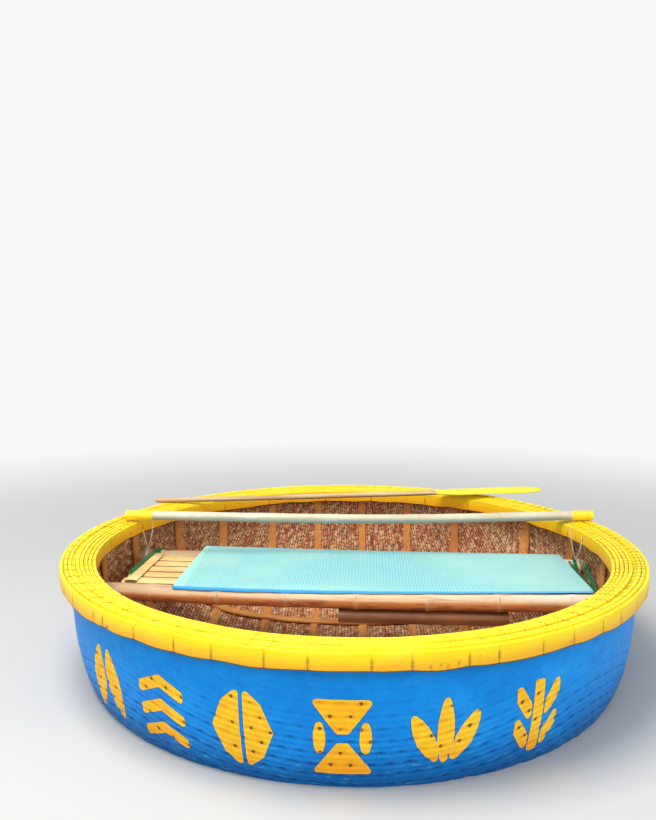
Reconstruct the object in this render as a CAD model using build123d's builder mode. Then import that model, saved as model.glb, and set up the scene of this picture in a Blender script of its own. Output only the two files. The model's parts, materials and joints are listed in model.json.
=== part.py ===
from build123d import *
import os
from math import asin, cos, degrees, radians, sin, sqrt

# Round basket boat: a woven bowl, a rim of bent laths, ribs, a bamboo bench, a crossbar and a paddle.
# Millimetres and degrees. Origin at the bottom centre, +Z up, +X to the boat's right, +Y to its rear.

# Woven bowl
rim_top = 620.0
hull_wall = 12.0
hull_radius = 1057.0
hull_edge_drop = 8.0
wall_bend = 950.0
wall_bend_top = 500.0
bilge_bend = 300.0
bilge_top = 270.0
bilge_end = 75.0

# Rim of laths bent edge on, outside and inside the woven edge
lath_thickness = 13.8
lath_height = 55.0
lath_round = 3.5
lath_outer_round = 6.5
lath_butt = 1.5
lath_butt_turn = 137.5
outer_lath_drops = (0.0, 0.0, 3.0)
inner_lath_drops = (2.0, 4.0, 6.0, 9.0, 12.0)

# Ribs bent along the inside, the across ribs lying over the along ribs
rib_width = 34.0
rib_thickness = 7.0
along_ribs = 6
along_rib_first = -650.0
along_rib_pitch = 236.0
across_ribs = 6
across_rib_first = -680.0
across_rib_pitch = 259.0

# Running fit between pieces that touch
gap = 0.3

# Bench, drawn in a plane that is turned a little about the boat's axis
bench_turn = -2.8
pole_radius = 34.0
pole_height = 420.0
front_pole_y = -112.0
front_pole_bow = 42.0
rear_pole_y = 338.0
node_bulge = 1.8
node_width = 12.0
node_pitch = 318.0
rung_radius = 13.0
rung_proud = 9.0
rung_pitch = 560.0
rungs = 4
slat_width = 70.0
slat_edge = 7.0
slat_crown = 3.0
slat_space = 7.0
slats = 5
slat_end_clearance = 75.4
end_board_width = 52.0
end_board_thickness = 9.0
end_board_inset = 14.0
low_pole_radius = 26.0
low_pole_bore = 17.0
low_pole_bore_depth = 60.0
low_pole_start = -40.0
low_pole_end = 600.0
mat_length = 1598.0
mat_width = 538.0
mat_thickness = 9.0
mat_end_inset = 7.0
mat_y = 151.0
mat_corner = 12.0

# Slatted board on the floor
floor_strips = 4
floor_strip_width = 56.0
floor_strip_space = 11.0
floor_strip_thickness = 10.0
floor_board_margin = 34.5
floor_board_x = 10.0
floor_board_y = 30.0

# Crossbar lying on the rim
bar_radius = 20.5
sleeve_radius = 22.5
bar_left_y = 276.0
bar_right_y = 320.0
bar_left_inset = 79.1
bar_right_inset = 2.7
bar_left_lath = 1
sleeve_left_length = 118.0
sleeve_right_length = 90.0
bar_bore = 15.0
bar_bore_depth = 70.0

# Paddle lying on the rear of the rim
paddle_length = 1928.6
paddle_turn = 8.17
paddle_left_y = 606.0
paddle_left_overhang = 26.8
shaft_radius = 12.0
grip_round = 8.0
blade_length = 462.0
blade_width = 132.0
blade_thickness = 12.0
blade_round = 4.0
blade_shoulder = 0.42
spine_reach = 0.62
spine_end_radius = 6.0

# Meridian of the bowl: upright wall, wall arc, bilge arc, bottom arc and flat bottom
wall_centre = (hull_radius - wall_bend, wall_bend_top)
wall_angle = degrees(asin((wall_bend_top - bilge_top) / wall_bend))
bilge_centre = (
    wall_centre[0] + (wall_bend - bilge_bend) * cos(radians(wall_angle)),
    wall_centre[1] - (wall_bend - bilge_bend) * sin(radians(wall_angle)),
)
bilge_foot = (
    bilge_centre[0] + bilge_bend * cos(radians(bilge_end)),
    bilge_centre[1] - bilge_bend * sin(radians(bilge_end)),
)
bottom_bend = bilge_foot[1] / (1 - sin(radians(bilge_end)))
bottom_centre = (bilge_foot[0] - bottom_bend * cos(radians(bilge_end)), bottom_bend)

lath_step = lath_thickness + gap
rim_radius = hull_radius + len(outer_lath_drops) * lath_step
rim_underside = rim_top - lath_height - max(inner_lath_drops)
along_inset = hull_wall + gap
across_inset = along_inset + rib_thickness + gap
across_face = across_inset + rib_thickness


def bowl_face(inset, top):
    """Half section of everything inside the bowl's outer face moved in by inset, up to top."""
    with BuildSketch(Plane.XZ) as section:
        with BuildLine():
            Line((0, inset), (bottom_centre[0], inset))
            CenterArc(bottom_centre, bottom_bend - inset, -90, 90 - bilge_end)
            CenterArc(bilge_centre, bilge_bend - inset, -bilge_end, bilge_end - wall_angle)
            CenterArc(wall_centre, wall_bend - inset, -wall_angle, wall_angle)
            Line((hull_radius - inset, wall_bend_top), (hull_radius - inset, top))
            Line((hull_radius - inset, top), (0, top))
            Line((0, top), (0, inset))
        make_face()
    return section.sketch


def bowl_layer(outer_inset, inner_inset, top):
    """Half section of one layer of the bowl between two insets."""
    with BuildSketch(Plane.XZ) as section:
        add(bowl_face(outer_inset, top))
        add(bowl_face(inner_inset, top), mode=Mode.SUBTRACT)
    return section.sketch


def end_plane(base, x):
    """Plane across base's X axis at x: its X runs along base's Y, and its Y along base's Z."""
    return Plane(base.from_local_coords((x, 0, 0)), x_dir=base.y_dir, z_dir=base.x_dir)


def write_node(builder, name):
    """Label a finished piece and write it under its node's name."""
    builder.part.label = name
    export_step(builder.part, "parts/" + name + ".step")


os.makedirs("parts", exist_ok=True)

# Woven bowl, its edge standing between the laths
with BuildPart() as hull_basket:
    revolve(bowl_layer(0, hull_wall, rim_top - hull_edge_drop), axis=Axis.Z)
write_node(hull_basket, "hull_basket")


def lath(inner_radius, drop, round_top, butt_at):
    """One lath bent round the edge, open by a narrow butt joint."""
    middle = inner_radius + lath_thickness / 2
    butt_angle = degrees(lath_butt / middle)
    with BuildPart() as ring:
        with BuildSketch(Plane.XZ.rotated((0, 0, butt_at))) as section:
            with Locations((middle, rim_top - drop - lath_height / 2)):
                Rectangle(lath_thickness, lath_height)
            fillet(section.vertices().group_by(Axis.Y)[-1], round_top)
            fillet(section.vertices().group_by(Axis.Y)[0], lath_round)
        revolve(axis=Axis.Z, revolution_arc=360 - butt_angle)
    return ring


# Outer laths, counted outwards from the woven edge
for index, drop in enumerate(outer_lath_drops):
    inner_radius = hull_radius + gap + index * lath_step
    outermost = index == len(outer_lath_drops) - 1
    ring = lath(inner_radius, drop, lath_outer_round if outermost else lath_round, index * lath_butt_turn)
    write_node(ring, f"rim_lath_outer_{index + 1}")

# Inner laths, counted inwards from the woven edge
for index, drop in enumerate(inner_lath_drops):
    inner_radius = hull_radius - hull_wall - gap - lath_thickness - index * lath_step
    butt_at = (index + len(outer_lath_drops)) * lath_butt_turn
    ring = lath(inner_radius, drop, lath_round, butt_at)
    write_node(ring, f"rim_lath_inner_{index + 1}")

# Ribs that run fore and aft, next to the weave
rib_top = rim_underside - gap
for index in range(along_ribs):
    with BuildPart() as rib:
        revolve(bowl_layer(along_inset, along_inset + rib_thickness, rib_top), axis=Axis.Z)
        with Locations((along_rib_first + index * along_rib_pitch, 0, rim_top / 2)):
            Box(rib_width, 2 * hull_radius, rim_top, mode=Mode.INTERSECT)
    write_node(rib, f"rib_along_{index + 1}")

# Ribs that run from side to side, lying over the others
for index in range(across_ribs):
    with BuildPart() as rib:
        revolve(bowl_layer(across_inset, across_face, rib_top), axis=Axis.Z)
        with Locations((0, across_rib_first + index * across_rib_pitch, rim_top / 2)):
            Box(2 * hull_radius, rib_width, rim_top, mode=Mode.INTERSECT)
    write_node(rib, f"rib_across_{index + 1}")

# Room that the bench's poles fill: the inside of the weave, notched round the across ribs
with BuildPart() as pole_room:
    revolve(bowl_face(hull_wall + gap, rim_top), axis=Axis.Z)
    with BuildPart(mode=Mode.PRIVATE) as rib_room:
        revolve(bowl_layer(hull_wall, across_face + gap, rim_top), axis=Axis.Z)
        with Locations(*[(0, across_rib_first + i * across_rib_pitch, rim_top / 2) for i in range(across_ribs)]):
            Box(2 * hull_radius, rib_width + 2 * gap, rim_top, mode=Mode.INTERSECT)
    add(rib_room.part, mode=Mode.SUBTRACT)

# Plane of the bench: the poles' axes, turned about the boat's axis
bench_plane = Plane.XY.offset(pole_height).rotated((0, 0, bench_turn))
front_span = sqrt(hull_radius**2 - front_pole_y**2)
rear_span = sqrt(hull_radius**2 - rear_pole_y**2)
bow_radius = (front_span**2 + front_pole_bow**2) / (2 * front_pole_bow)


def front_pole_at(x):
    """Distance of the bowed front pole's axis along the bench plane's Y at x."""
    return front_pole_y - sqrt(bow_radius**2 - x**2) + bow_radius - front_pole_bow


rung_places = [(index - (rungs - 1) / 2) * rung_pitch for index in range(rungs)]


def pole(path, radius, start, end):
    """A bamboo pole along a path, with a raised ring at each node between two places along X."""
    with BuildPart() as culm:
        with BuildSketch(Plane(path @ 0, z_dir=path % 0)):
            Circle(radius)
        sweep(path=path)
        count = int((end - start) / node_pitch)
        for index in range(count):
            place = (index + 0.5) / count
            with BuildSketch(Plane(path @ place, z_dir=path % place).offset(-node_width / 2)):
                Circle(radius + node_bulge)
            extrude(amount=node_width)
    return culm.part


def rung_holes(y_of_pole):
    """Holes for the rungs through a pole whose axis lies at y_of_pole(x)."""
    with BuildPart() as holes:
        for x in rung_places:
            with Locations(bench_plane * Location((x, y_of_pole(x), 0), (90, 0, 0))):
                Cylinder(rung_radius + gap, 3 * pole_radius)
    return holes.part


# Front pole, bowed forward
with BuildLine(bench_plane) as front_path:
    ThreePointArc(
        (-front_span, front_pole_at(front_span)),
        (0, front_pole_at(0)),
        (front_span, front_pole_at(front_span)),
    )
with BuildPart() as bench_pole_front:
    add(pole(front_path.line, pole_radius, -front_span, front_span))
    add(rung_holes(front_pole_at), mode=Mode.SUBTRACT)
    add(pole_room.part, mode=Mode.INTERSECT)
write_node(bench_pole_front, "bench_pole_front")

# Rear pole, straight
with BuildLine(bench_plane) as rear_path:
    Line((-rear_span, rear_pole_y), (rear_span, rear_pole_y))
with BuildPart() as bench_pole_rear:
    add(pole(rear_path.line, pole_radius, -rear_span, rear_span))
    add(rung_holes(lambda x: rear_pole_y), mode=Mode.SUBTRACT)
    add(pole_room.part, mode=Mode.INTERSECT)
write_node(bench_pole_rear, "bench_pole_rear")

# Short pole lashed under the middle of the front pole and bowed like it
low_pole_plane = bench_plane.offset(-(pole_radius + low_pole_radius + node_bulge + gap))
low_pole_middle = (low_pole_start + low_pole_end) / 2
with BuildLine(low_pole_plane) as low_path:
    ThreePointArc(
        (low_pole_start, front_pole_at(low_pole_start)),
        (low_pole_middle, front_pole_at(low_pole_middle)),
        (low_pole_end, front_pole_at(low_pole_end)),
    )
with BuildPart() as bench_pole_low:
    with BuildSketch(Plane(low_path.line @ 0, z_dir=low_path.line % 0)):
        Circle(low_pole_radius)
    sweep(path=low_path.line)
    for place in (0, 1):
        with BuildSketch(Plane(low_path.line @ place, z_dir=low_path.line % place)):
            Circle(low_pole_bore)
        extrude(amount=low_pole_bore_depth * (1 - 2 * place), mode=Mode.SUBTRACT)
write_node(bench_pole_low, "bench_pole_low")

# Rungs tenoned through both poles
with BuildPart() as bench_rungs:
    for x in rung_places:
        front_end = front_pole_at(x) - pole_radius - rung_proud
        rear_end = rear_pole_y + pole_radius + rung_proud
        with Locations(bench_plane * Location((x, (front_end + rear_end) / 2, 0), (90, 0, 0))):
            Cylinder(rung_radius, rear_end - front_end)
write_node(bench_rungs, "bench_rungs")

# Slats lying on the rungs between the poles, as long as the bowl lets the rearmost one be
slat_field_centre = (front_pole_y + rear_pole_y) / 2
slat_field_rear = slat_field_centre + (slats * (slat_width + slat_space) - slat_space) / 2
slat_length = 2 * (sqrt((hull_radius - hull_wall) ** 2 - slat_field_rear**2) - slat_end_clearance)
slat_seat = rung_radius + gap
with BuildPart() as bench_slats:
    with BuildSketch(end_plane(bench_plane, -slat_length / 2)):
        for index in range(slats):
            middle = slat_field_centre + (index - (slats - 1) / 2) * (slat_width + slat_space)
            with BuildLine():
                Line((middle - slat_width / 2, slat_seat + slat_edge), (middle - slat_width / 2, slat_seat))
                Line((middle - slat_width / 2, slat_seat), (middle + slat_width / 2, slat_seat))
                Line((middle + slat_width / 2, slat_seat), (middle + slat_width / 2, slat_seat + slat_edge))
                ThreePointArc(
                    (middle + slat_width / 2, slat_seat + slat_edge),
                    (middle, slat_seat + slat_edge + slat_crown),
                    (middle - slat_width / 2, slat_seat + slat_edge),
                )
            make_face()
    extrude(amount=slat_length)
write_node(bench_slats, "bench_slats")

# End boards across the slats' ends, between the poles
board_seat = slat_seat + slat_edge + slat_crown + gap
board_front = front_pole_y + pole_radius + node_bulge + gap
board_rear = rear_pole_y - pole_radius - node_bulge - gap
for name, side in (("bench_end_left", -1), ("bench_end_right", 1)):
    board_x = side * (slat_length / 2 - end_board_inset - end_board_width / 2)
    with BuildPart() as end_board:
        with BuildSketch(bench_plane.offset(board_seat)):
            with Locations((board_x, (board_front + board_rear) / 2)):
                Rectangle(end_board_width, board_rear - board_front)
        extrude(amount=end_board_thickness)
        fillet(end_board.edges().group_by(Axis.Z)[-1], end_board_thickness / 4)
    write_node(end_board, name)

# Foam mat lying on the poles, its right end near the slats' right ends
mat_x = (slat_length - mat_length) / 2 - mat_end_inset
with BuildPart() as bench_mat:
    with BuildSketch(Plane.XY.offset(pole_height + pole_radius + node_bulge + gap)):
        with Locations((mat_x, mat_y)):
            RectangleRounded(mat_length, mat_width, mat_corner)
    extrude(amount=mat_thickness)
write_node(bench_mat, "bench_mat")

# Slatted board lying on the across ribs of the flat bottom
floor_board_length = 2 * (bottom_centre[0] - floor_board_margin)
with BuildPart() as floor_slats:
    with BuildSketch(Plane.XY.offset(across_face + gap)):
        with Locations((floor_board_x, floor_board_y)):
            with GridLocations(floor_strip_width + floor_strip_space, 0, floor_strips, 1):
                RectangleRounded(floor_strip_width, floor_board_length, floor_strip_width / 8)
    extrude(amount=floor_strip_thickness)
write_node(floor_slats, "floor_slats")

# Crossbar from rim to rim: its left sleeve lies on a lower lath than its right one
bar_left_height = rim_top - inner_lath_drops[bar_left_lath] + gap + sleeve_radius
bar_right_height = rim_top - min(outer_lath_drops) + gap + sleeve_radius
bar_left_x = bar_left_inset - sqrt(rim_radius**2 - bar_left_y**2)
bar_right_x = sqrt(rim_radius**2 - bar_right_y**2) - bar_right_inset
bar_start = Vector(bar_left_x, bar_left_y, bar_left_height)
bar_vector = Vector(bar_right_x, bar_right_y, bar_right_height) - bar_start
bar_length = bar_vector.length
bar_plane = Plane(bar_start, z_dir=bar_vector)
with BuildPart() as crossbar:
    with BuildSketch(bar_plane):
        Circle(bar_radius)
    extrude(amount=bar_length)
    for end in (0, bar_length - bar_bore_depth):
        with BuildSketch(bar_plane.offset(end)):
            Circle(bar_bore)
        extrude(amount=bar_bore_depth, mode=Mode.SUBTRACT)
write_node(crossbar, "crossbar")

for name, start, length in (
    ("crossbar_sleeve_left", 0, sleeve_left_length),
    ("crossbar_sleeve_right", bar_length - sleeve_right_length, sleeve_right_length),
):
    with BuildPart() as sleeve:
        with BuildSketch(bar_plane.offset(start)):
            Circle(sleeve_radius)
            Circle(bar_radius + gap, mode=Mode.SUBTRACT)
        extrude(amount=length)
    write_node(sleeve, name)

# Paddle in one piece: a round shaft that thins into a spine along a flat blade
paddle_height = rim_top - min(outer_lath_drops) + gap + shaft_radius
paddle_left_x = -sqrt(rim_radius**2 - paddle_left_y**2) - paddle_left_overhang
paddle_plane = Plane((paddle_left_x, paddle_left_y, paddle_height)).rotated((0, 0, paddle_turn))
shaft_length = paddle_length - blade_length
shoulder_x = shaft_length + blade_shoulder * blade_length
spine_length = spine_reach * blade_length
with BuildPart() as paddle:
    with BuildSketch(paddle_plane.offset(-blade_thickness / 2)):
        with BuildLine():
            Spline(
                (shaft_length, shaft_radius * 0.9),
                (shoulder_x, blade_width / 2),
                (paddle_length, 0),
                tangents=((1, 0.1), (0, -1)),
            )
            mirror(about=Plane.XZ)
            Line((shaft_length, shaft_radius * 0.9), (shaft_length, -shaft_radius * 0.9))
        make_face()
    extrude(amount=blade_thickness)
    fillet(paddle.edges().filter_by(GeomType.BSPLINE), blade_round)
    with BuildSketch(end_plane(paddle_plane, 0)):
        Circle(shaft_radius)
    extrude(amount=shaft_length)
    fillet(paddle.edges().sort_by(Axis.X)[0], grip_round)
    with BuildSketch(end_plane(paddle_plane, shaft_length)):
        Circle(shaft_radius)
    with BuildSketch(end_plane(paddle_plane, shaft_length + spine_length)):
        Circle(spine_end_radius)
    loft()
write_node(paddle, "paddle")
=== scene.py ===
# %% [markdown]
# # A round woven basket boat
# This lesson dresses a imported CAD boat: a bowl woven from split bamboo and painted outside, a rim of
# bent laths, ribs, a bamboo bench with a foam mat, a crossbar and a paddle. The CAD gives every place
# and size. Blender adds what CAD leaves plain: the weave, the bamboo's joints, stitches, ties and paint.
# The frame is loaded first.

# %% Load the imported boat
import json
import math

import bmesh
import bpy
import numpy as np
from mathutils import Matrix, Vector

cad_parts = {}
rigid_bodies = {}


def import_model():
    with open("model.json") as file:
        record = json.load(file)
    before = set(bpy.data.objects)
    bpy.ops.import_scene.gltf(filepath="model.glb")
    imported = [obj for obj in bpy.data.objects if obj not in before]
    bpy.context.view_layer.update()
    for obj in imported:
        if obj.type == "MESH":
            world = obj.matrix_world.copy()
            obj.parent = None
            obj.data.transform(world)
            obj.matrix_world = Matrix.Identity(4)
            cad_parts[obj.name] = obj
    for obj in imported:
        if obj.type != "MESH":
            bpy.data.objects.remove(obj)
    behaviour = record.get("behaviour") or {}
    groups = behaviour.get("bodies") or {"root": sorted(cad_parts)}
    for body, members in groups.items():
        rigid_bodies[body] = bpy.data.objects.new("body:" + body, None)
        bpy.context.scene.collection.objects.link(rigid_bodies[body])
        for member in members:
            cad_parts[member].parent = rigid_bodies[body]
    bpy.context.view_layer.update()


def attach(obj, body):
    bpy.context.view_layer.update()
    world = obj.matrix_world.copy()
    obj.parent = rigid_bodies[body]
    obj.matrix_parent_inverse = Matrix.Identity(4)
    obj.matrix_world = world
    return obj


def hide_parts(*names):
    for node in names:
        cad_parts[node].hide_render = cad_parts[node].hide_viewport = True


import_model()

# %% [markdown]
# ## The viewpoint
# The camera stands in front of the boat, about 0.8 m above its rim, and looks down a little. Its place
# and its lens were worked out from the rim's ellipse in the photograph and the line of the horizon.

# %% Camera
def link(name, data):
    """Make an object of a mesh, curve, lamp or camera, and put it in the scene."""
    made = bpy.data.objects.new(name, data)
    bpy.context.scene.collection.objects.link(made)
    return made


camera = link("camera", bpy.data.cameras.new("camera"))
camera.data.lens = 33.5
camera.data.sensor_width = 36
camera.location = (0, -2.978, 1.423)
camera.rotation_euler = (math.radians(90 - 5.58), 0, math.radians(1.78))
bpy.context.scene.camera = camera
bpy.context.scene.view_settings.view_transform = "Standard"
print("camera at", tuple(camera.location))


# %% [markdown]
# ## Shader nodes by short calls
# Materials here are node trees. A node's output is kept as a Value, and every sum on Values adds a Math
# node, so a shader reads like a formula. The other helpers add one node each. Colours are given as they
# look on screen, from 0 to 255. What is the same all over is set on the shader's own socket, so that
# other programs can read it.

# %% Helpers for node trees
class Value:
    """One output of a node, which can be used in sums."""

    def __init__(self, socket):
        self.socket = socket
        self.tree = socket.id_data

    def math(self, operation, *others):
        """One Math node with this value as its first input."""
        return put(self.tree, "Math", {"operation": operation}, dict(enumerate((self, *others))))


# Python calls these methods for +, -, *, /, **, %, abs(), math.floor() and round()
for word, operation in (
    ("add", "ADD"), ("sub", "SUBTRACT"), ("mul", "MULTIPLY"), ("truediv", "DIVIDE"), ("pow", "POWER"),
    ("mod", "FLOORED_MODULO"), ("abs", "ABSOLUTE"), ("floor", "FLOOR"), ("round", "ROUND"),
):
    setattr(Value, f"__{word}__", lambda self, *others, kind=operation: self.math(kind, *others))


def linear(colour):
    """A colour as it looks on screen, from 0 to 255, made linear for the shader."""
    shares = [channel / 255 for channel in colour]
    return (*(s / 12.92 if s <= 0.04045 else ((s + 0.055) / 1.055) ** 2.4 for s in shares), 1)


def fill(socket, value):
    """Link a Value to a socket, or set the socket to a plain number, vector or colour."""
    if isinstance(value, Value):
        socket.id_data.links.new(value.socket, socket)
    else:
        socket.default_value = value


def node(tree, kind, settings=None, inputs=None):
    """Add a node, set its properties, then fill its inputs by name or number."""
    made = tree.nodes.new("ShaderNode" + kind)
    for name, value in (settings or {}).items():
        setattr(made, name, value)
    for name, value in (inputs or {}).items():
        fill(made.inputs[name], value)
    return made


def put(tree, kind, settings=None, inputs=None, output=0):
    """Add a node and give one of its outputs as a Value."""
    return Value(node(tree, kind, settings, inputs).outputs[output])


def mix(factor, a, b):
    """Mix two colours by a factor; each is a Value or a screen colour."""
    tree = next(value.tree for value in (factor, a, b) if isinstance(value, Value))
    a, b = (value if isinstance(value, Value) else linear(value) for value in (a, b))
    settings = {"data_type": "RGBA", "clamp_factor": True}
    return put(tree, "Mix", settings, {0: factor, 6: a, 7: b}, 2)


def layers(colour, *coats):
    """Lay coats of (mask, colour) over a colour, one after the other."""
    for mask, tone in coats:
        colour = mix(mask, colour, tone)
    return colour


def band(value, low, high, out_low=0.0, out_high=1.0):
    """Turn a value smoothly into another between two limits."""
    inputs = {0: value, 1: low, 2: high, 3: out_low, 4: out_high}
    return put(value.tree, "MapRange", {"interpolation_type": "SMOOTHSTEP"}, inputs)


def stretch(place, scale, turn=0.0):
    """Stretch a pattern's coordinates and turn them about Z."""
    inputs = {"Vector": place, "Rotation": (0, 0, turn), "Scale": scale}
    return put(place.tree, "Mapping", None, inputs)


def noise(place, scale, detail=3.0, roughness=0.55):
    """Soft noise between 0 and 1; a scale of three numbers stretches it."""
    if isinstance(scale, tuple):
        place, scale = stretch(place, scale), 1.0
    inputs = {"Vector": place, "Scale": scale, "Detail": detail, "Roughness": roughness}
    return put(place.tree, "TexNoise", None, inputs, "Fac")


def ramp(factor, *stops):
    """A colour ramp from (place, screen colour) stops."""
    made = node(factor.tree, "ValToRGB", None, {0: factor})
    elements = made.color_ramp.elements
    while len(elements) < len(stops):
        elements.new(0.5)
    for element, (place, colour) in zip(elements, stops):
        element.position = place
        element.color = linear(colour)
    return Value(made.outputs[0])


def part(vector, axis):
    """One of a vector's three parts."""
    return put(vector.tree, "SeparateXYZ", None, {0: vector}, axis)


def joined(*parts):
    """A vector of two or three parts."""
    return put(parts[0].tree, "CombineXYZ", None, dict(enumerate(parts)))


def dice(place, dimensions="2D"):
    """A random number for each whole place, from white noise."""
    socket = "W" if dimensions == "1D" else "Vector"
    return put(place.tree, "TexWhiteNoise", {"noise_dimensions": dimensions}, {socket: place}, "Value")


def own_place(tree):
    """The place on the piece, in metres."""
    return put(tree, "TexCoord", output="Object")


def facing_up(tree):
    """How far the surface faces up, from -1 to 1."""
    return part(put(tree, "NewGeometry", output="Normal"), "Z")


def map_place(tree, name):
    """A place on one of the piece's UV maps."""
    return put(tree, "UVMap", {"uv_map": name})


def attribute(tree, name):
    """A number kept on the piece's own vertices."""
    return put(tree, "Attribute", {"attribute_name": name}, output="Fac")


def new_material(name, **plain):
    """A material with its Principled shader; plain are the values that are the same all over."""
    material = bpy.data.materials.new(name)
    material.use_nodes = True
    shader = material.node_tree.nodes["Principled BSDF"]
    for socket, value in plain.items():
        shader.inputs[socket.replace("_", " ")].default_value = value
    return material, material.node_tree, shader


def finish(shader, colour, height, distance, roughness=None):
    """Link the colour, a bump from a height and, where it varies, the roughness."""
    inputs = {"Height": height, "Distance": distance, "Strength": 1.0}
    fill(shader.inputs["Base Color"], colour)
    fill(shader.inputs["Normal"], put(height.tree, "Bump", None, inputs))
    if roughness is not None:
        fill(shader.inputs["Roughness"], roughness)


def new_group(name, **inputs):
    """An empty node group and its inputs; None stands for a vector, a number for a number."""
    group = bpy.data.node_groups.new(name, "ShaderNodeTree")
    for socket, value in inputs.items():
        kind = "NodeSocketVector" if value is None else "NodeSocketFloat"
        made = group.interface.new_socket(socket, in_out="INPUT", socket_type=kind)
        if value is not None:
            made.default_value = value
    source = group.nodes.new("NodeGroupInput").outputs
    return group, *(Value(source[socket]) for socket in inputs)


def close_group(group, **outputs):
    """Give a node group its outputs."""
    for socket in outputs:
        group.interface.new_socket(socket, in_out="OUTPUT", socket_type="NodeSocketFloat")
    ends = group.nodes.new("NodeGroupOutput").inputs
    for socket, value in outputs.items():
        fill(ends[socket], value)
    print("node group:", group.name)


def use_group(tree, group, **inputs):
    """Place a node group in a tree and give its outputs by name."""
    made = node(tree, "Group", {"node_tree": group}, inputs)
    return {socket.name: Value(socket) for socket in made.outputs}


print("node helpers ready")


# %% [markdown]
# ## Floor, backdrop and light
# The boat floats, so the floor of this plain studio lies at its waterline, 0.19 m above its bottom.
# The light is that of a bright, slightly hazy day: a pale sky all round, one big soft lamp high up to
# the left, a weaker one low in front and one from the right. The sky and the far floor that the camera
# sees are one plain pale colour, which doesn't light the boat.

# %% Floor at the waterline
WATERLINE, WATER_RADIUS = 0.19, 0.984
PALE = (0.93, 0.93, 0.92, 1)


def seen_directly(tree):
    """1 where the camera looks, also through a mirror or glass, and 0 for light between things."""
    rays = node(tree, "LightPath").outputs
    names = ("Is Camera Ray", "Is Glossy Ray", "Is Transmission Ray")
    camera_ray, glossy, through = (Value(rays[name]) for name in names)
    return camera_ray.math("MAXIMUM", glossy.math("MAXIMUM", through))


floor_mesh = bpy.data.meshes.new("studio_floor")
bm = bmesh.new()
inner_edge = bmesh.ops.create_circle(bm, cap_ends=False, segments=128, radius=WATER_RADIUS)["verts"]
bmesh.ops.translate(bm, verts=inner_edge, vec=(0, 0, WATERLINE))
outer_edge = bmesh.ops.extrude_edge_only(bm, edges=bm.edges[:])["geom"]
outer_verts = [item for item in outer_edge if isinstance(item, bmesh.types.BMVert)]
bmesh.ops.scale(bm, vec=(30, 30, 1), verts=outer_verts)
bmesh.ops.recalc_face_normals(bm, faces=bm.faces)
bm.to_mesh(floor_mesh)
bm.free()
floor = link("studio_floor", floor_mesh)
floor_paint, tree, shader = new_material("studio_floor", Roughness=0.9, Specular_IOR_Level=0.2)
shader.inputs["Base Color"].default_value = (0.60, 0.60, 0.59, 1)
far = put(tree, "VectorMath", {"operation": "LENGTH"}, {0: own_place(tree)}, "Value")
fade = band(far, 1.6, 6.0) * seen_directly(tree)
pale = put(tree, "Emission", None, {"Color": PALE, "Strength": 1.0})
faded = put(tree, "MixShader", None, {0: fade, 1: Value(shader.outputs[0]), 2: pale})
fill(tree.nodes["Material Output"].inputs["Surface"], faded)
floor_mesh.materials.append(floor_paint)
print("floor at", WATERLINE, "m")

# %% Sky and lamps
world = bpy.data.worlds.new("sky")
world.use_nodes = True
bpy.context.scene.world = world
tree = world.node_tree
sky_light = tree.nodes["Background"]
sky_light.inputs["Color"].default_value = (0.88, 0.94, 1.0, 1)
sky_light.inputs["Strength"].default_value = 0.55
sky_seen = put(tree, "Background", None, {"Color": PALE, "Strength": 1.0})
sky = {0: seen_directly(tree), 1: Value(sky_light.outputs[0]), 2: sky_seen}
fill(tree.nodes["World Output"].inputs["Surface"], put(tree, "MixShader", None, sky))
for name, place, aim, size, power, colour in (
    ("lamp_high", (-1.4, -1.5, 5.2), (0, 0, 0.5), 2.6, 255, (1, 0.97, 0.92)),
    ("lamp_front", (-1.8, -5.4, 3.0), (0, 0, 0.4), 3.0, 78, (1, 0.98, 0.95)),
    ("lamp_right", (4.2, -3.4, 2.2), (0.6, -0.3, 0.4), 2.4, 60, (1, 0.95, 0.86)),
):
    lamp = link(name, bpy.data.lights.new(name, "AREA"))
    lamp.data.size, lamp.data.energy, lamp.data.color = size, power, colour
    lamp.location = place
    lamp.rotation_euler = (Vector(aim) - Vector(place)).to_track_quat("-Z", "Y").to_euler()

# %% [markdown]
# ## The bowl's section
# The bowl is a flat woven sheet pressed into a mould: a flat bottom, a wide arc, a tight bilge, an
# almost upright wall. The same arcs as in the CAD give the radius and height for a distance along the
# section, and tell how deep inside the outer face a point lies. Keeping that distance matters, because
# the weave follows the sheet, and the depth is what later cuts the poles to the wall.

# %% Arcs of the section, in metres
WALL, HULL_RADIUS, WALL_FOOT = 0.012, 1.057, 0.5
flat_end, bottom_end, bilge_end, wall_end, sheet_edge = 0.4145, 0.8200, 1.1393, 1.3716, 1.4836
# Start and end along the sheet, centre, bend radius, and slope in degrees at the start and the end
arcs = (
    (flat_end, bottom_end, (0.4145, 1.5490), 1.5490, 90.0, 75.0),
    (bottom_end, bilge_end, (0.7377, 0.3426), 0.3000, 75.0, 14.01),
    (bilge_end, wall_end, (0.1070, WALL_FOOT), 0.9500, 14.01, 0.0),
)


def section_point(distance, inset=0.0):
    """Radius and height at distances along the bowl's outer face, moved inwards by inset."""
    radius = np.where(distance <= flat_end, distance, HULL_RADIUS - inset)
    height = np.where(distance <= flat_end, inset, WALL_FOOT + distance - wall_end)
    for start, end, centre, bend, slope, _ in arcs:
        turn = (distance - start) / bend - math.radians(slope)
        here = (distance > start) & (distance <= end)
        radius = np.where(here, centre[0] + (bend - inset) * np.cos(turn), radius)
        height = np.where(here, centre[1] + (bend - inset) * np.sin(turn), height)
    return radius, height


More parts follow.
